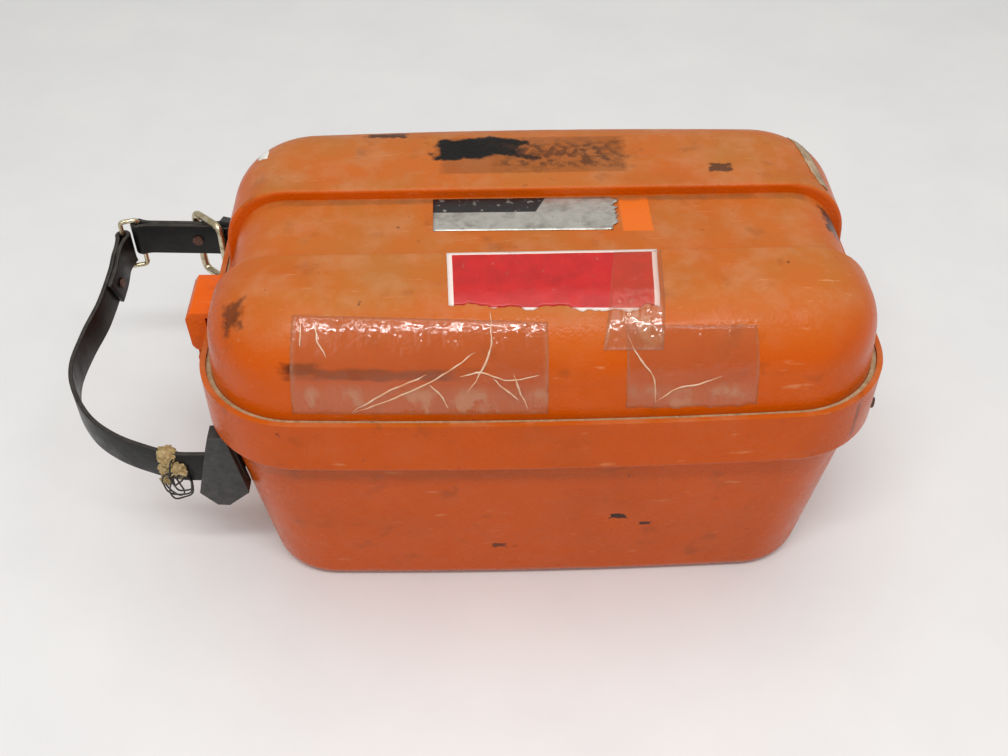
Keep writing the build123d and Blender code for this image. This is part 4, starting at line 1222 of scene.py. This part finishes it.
@dataclass
class LidLabels:
    """Bare labels, tape and tape remains on the lid."""

    def build(self) -> None:
        """Lays each label on the lid."""
        ground = surface_of("lid_shell")
        foil = FoilLabel().make()
        paper = PaperLabel().make()
        film = ClearTape().make()
        white = PlainFinish("white_cloth_tape", "#E8E6E0", "#CFCBC2", rough=(0.5, 0.7), mix_mm=5.0,
                            grain_mm=(0.8, 0.05)).make()
        tan = PlainFinish("aged_kraft_tape", "#B79C7C", "#8C7358", rough=(0.4, 0.6), mix_mm=6.0,
                          grain_mm=(1.0, 0.1)).make()
        DrapedPatch(
            "bare_nameplate",
            ((-47.3, 13.6, 164), (37.2, 13.2, 164), (35.4, -11.2, 164), (-46.9, -10.2, 164)),
            foil, lift=0.3 * MM, torn=(0, 0.05, 0, 0), curl=0.9 * MM, ripple=0.1 * MM, axis_z=-5.0,
            reach=5.3).build(ground)
        DrapedPatch(
            "bare_red_label",
            ((-40.8, -32.6, 169), (48.0, -32.4, 169), (45.1, -69.1, 165.1), (-39.6, -67.2, 166)),
            paper, lift=0.25 * MM, torn=(0, 0, 0, 0.10), ripple=0.12 * MM).build(ground)
        DrapedPatch(
            "left_clear_tape",
            ((-102.4, -66.0, 165), (-0.1, -71.5, 163.6), (0.3, -86.2, 126.2), (-105.5, -83.7, 126.6)),
            film, ripple=0.25 * MM).build(ground)
        DrapedPatch(
            "right_clear_tape",
            ((31.2, -73.1, 162.5), (84.1, -73.2, 161.4), (87.3, -84.5, 126.4), (32.4, -85.7, 126.8)),
            film, ripple=0.25 * MM, torn=(0, 0, 0, 0.04)).build(ground)
        DrapedPatch(
            "label_clear_tape",
            ((30.0, -34.0, 169), (49.6, -33.6, 169), (46.2, -79.8, 155), (22.0, -79.8, 155.4)),
            film, lift=0.42 * MM, ripple=0.2 * MM).build(ground)
        creased = PlainFinish("gathered_tape_film", "#F2D8BC", "#E4A272", rough=(0.12, 0.3), mix_mm=5.0,
                              grain_mm=(1.5, 0.05), dirt_share=0.1, alpha=0.8).make()
        TapeCreases().build(ground, creased)
        DrapedPatch(
            "white_tape_scrap",
            ((-131.5, 57.0, 160), (-125.5, 57.0, 163), (-124.2, 45.0, 167), (-130.0, 45.0, 163)),
            white, torn=(0, 0.2, 0, 0.2)).build(ground)
        DrapedPatch(
            "shoulder_tape_strip",
            ((122.0, 62.0, 163), (128.5, 60.0, 159), (135.5, 17.0, 157), (129.0, 17.5, 161)),
            tan, lift=0.3 * MM, ripple=0.3 * MM, torn=(0.2, 0.1, 0, 0.1)).build(ground)


# Studio

@dataclass(frozen=True)
class AreaLight:
    """One oblong light that points at the case: sizes in metres, power in watts."""

    name: str
    place: Triple
    length: float
    width: float
    power: float
    aim: Triple = (0, 0, 0.08)

    def hang(self) -> None:
        """Hangs the light."""
        data = bpy.data.lights.new(self.name, "AREA")
        data.shape = "RECTANGLE"
        data.size = self.length
        data.size_y = self.width
        data.energy = self.power
        light = placed(self.name, data)
        light.location = self.place
        light.rotation_mode = "QUATERNION"
        light.rotation_quaternion = (Vector(self.aim) - Vector(self.place)).to_track_quat("-Z", "Y")


@dataclass
class Studio:
    """Camera, plain floor and soft light."""

    azimuth_deg: float = -1.6
    elevation_deg: float = 43.55
    distance: float = 0.6147
    target: Triple = (-0.0151, 0.0187, 0.0473)
    focal_px: float = 1172.7
    table_reach: float = 6.0
    # World strength for what it lights and for what the camera sees of it
    world_strength: Pair = (0.60, 1.0)
    lights: tuple[AreaLight, ...] = (
        AreaLight("overhead_light", (0.1, 0.1, 1.25), length=0.9, width=0.9, power=3.4),
        AreaLight("long_window", (0.0, -0.53, 1.12), length=0.95, width=0.09, power=6.4),
        AreaLight("front_fill", (-0.7, -0.9, 0.9), length=0.8, width=0.8, power=1.4),
    )

    def build(self) -> None:
        """Builds the studio."""
        self.camera()
        self.floor()
        for light in self.lights:
            light.hang()
        self.world()

    def camera(self) -> None:
        """Sets the camera at the photograph's viewing angle."""
        data = bpy.data.cameras.new("camera")
        data.sensor_width = SENSOR_MM
        data.lens = self.focal_px / IMAGE_WIDTH_PX * SENSOR_MM
        data.clip_start = 0.01
        camera = placed("camera", data)
        azimuth = math.radians(self.azimuth_deg)
        elevation = math.radians(self.elevation_deg)
        back = Vector((math.sin(azimuth) * math.cos(elevation),
                       -math.cos(azimuth) * math.cos(elevation), math.sin(elevation)))
        camera.location = Vector(self.target) + back * self.distance
        camera.rotation_mode = "QUATERNION"
        camera.rotation_quaternion = (-back).to_track_quat("-Z", "Y")
        bpy.context.scene.camera = camera

    def floor(self) -> None:
        """Lays a plain pale table."""
        s = Shading("matt_white_table")
        s.feed({"Base Color": s.blend(srgb("#E6E6E6"), srgb("#E1E1E2"), s.cloud(90.0, 0.35, 0.7)),
                "Roughness": 0.6})
        reach = self.table_reach
        mesh = bpy.data.meshes.new("table_top")
        mesh.from_pydata([(-reach, -reach, 0), (reach, -reach, 0), (reach, reach, 0), (-reach, reach, 0)],
                         [], [(0, 1, 2, 3)])
        mesh.materials.append(s.material)
        table = placed("table_top", mesh)

    def world(self) -> None:
        """Surrounds the table with a plain white world."""
        world = bpy.data.worlds.new("white_room")
        world.use_nodes = True
        tree = world.node_tree
        tree.nodes.clear()
        output = add(tree, "ShaderNodeOutputWorld")
        seen = add(tree, "ShaderNodeLightPath").outputs["Is Camera Ray"]
        low, high = self.world_strength
        strength = add(tree, "ShaderNodeMapRange", {"Value": seen, "To Min": low, "To Max": high})
        sky = add(tree, "ShaderNodeBackground", {"Color": srgb("#F7F6F2"), "Strength": strength.outputs[0]})
        tree.links.new(sky.outputs[0], output.inputs["Surface"])
        bpy.context.scene.world = world


def main() -> None:
    """Builds the scene in order."""
    logging.basicConfig(level=logging.INFO, format="%(name)s %(message)s")
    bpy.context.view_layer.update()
    bpy.context.scene.view_settings.view_transform = "Standard"
    noise.seed_set(NOISE_SEED)
    Studio().build()
    CaseMouldings().dress()
    finishes = PlainPieces().dress()
    softened("latch_lever", "latch_lever_moulding", "latch", edge=1.6 * MM)
    softened("strap_clamp", "strap_clamp_sheet", "case", edge=0.9 * MM)
    softened("lid_pad", "lid_pad_foam", "lid", edge=3.5 * MM)
    RepairWad().build(finishes[Surface.TAPE.value], finishes[Surface.WIRE.value])
    StrapLoop().build(StrapLeather().make())
    LidLabels().build()
    bpy.context.view_layer.update()
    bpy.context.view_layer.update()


if __name__ == "__main__":
    main()
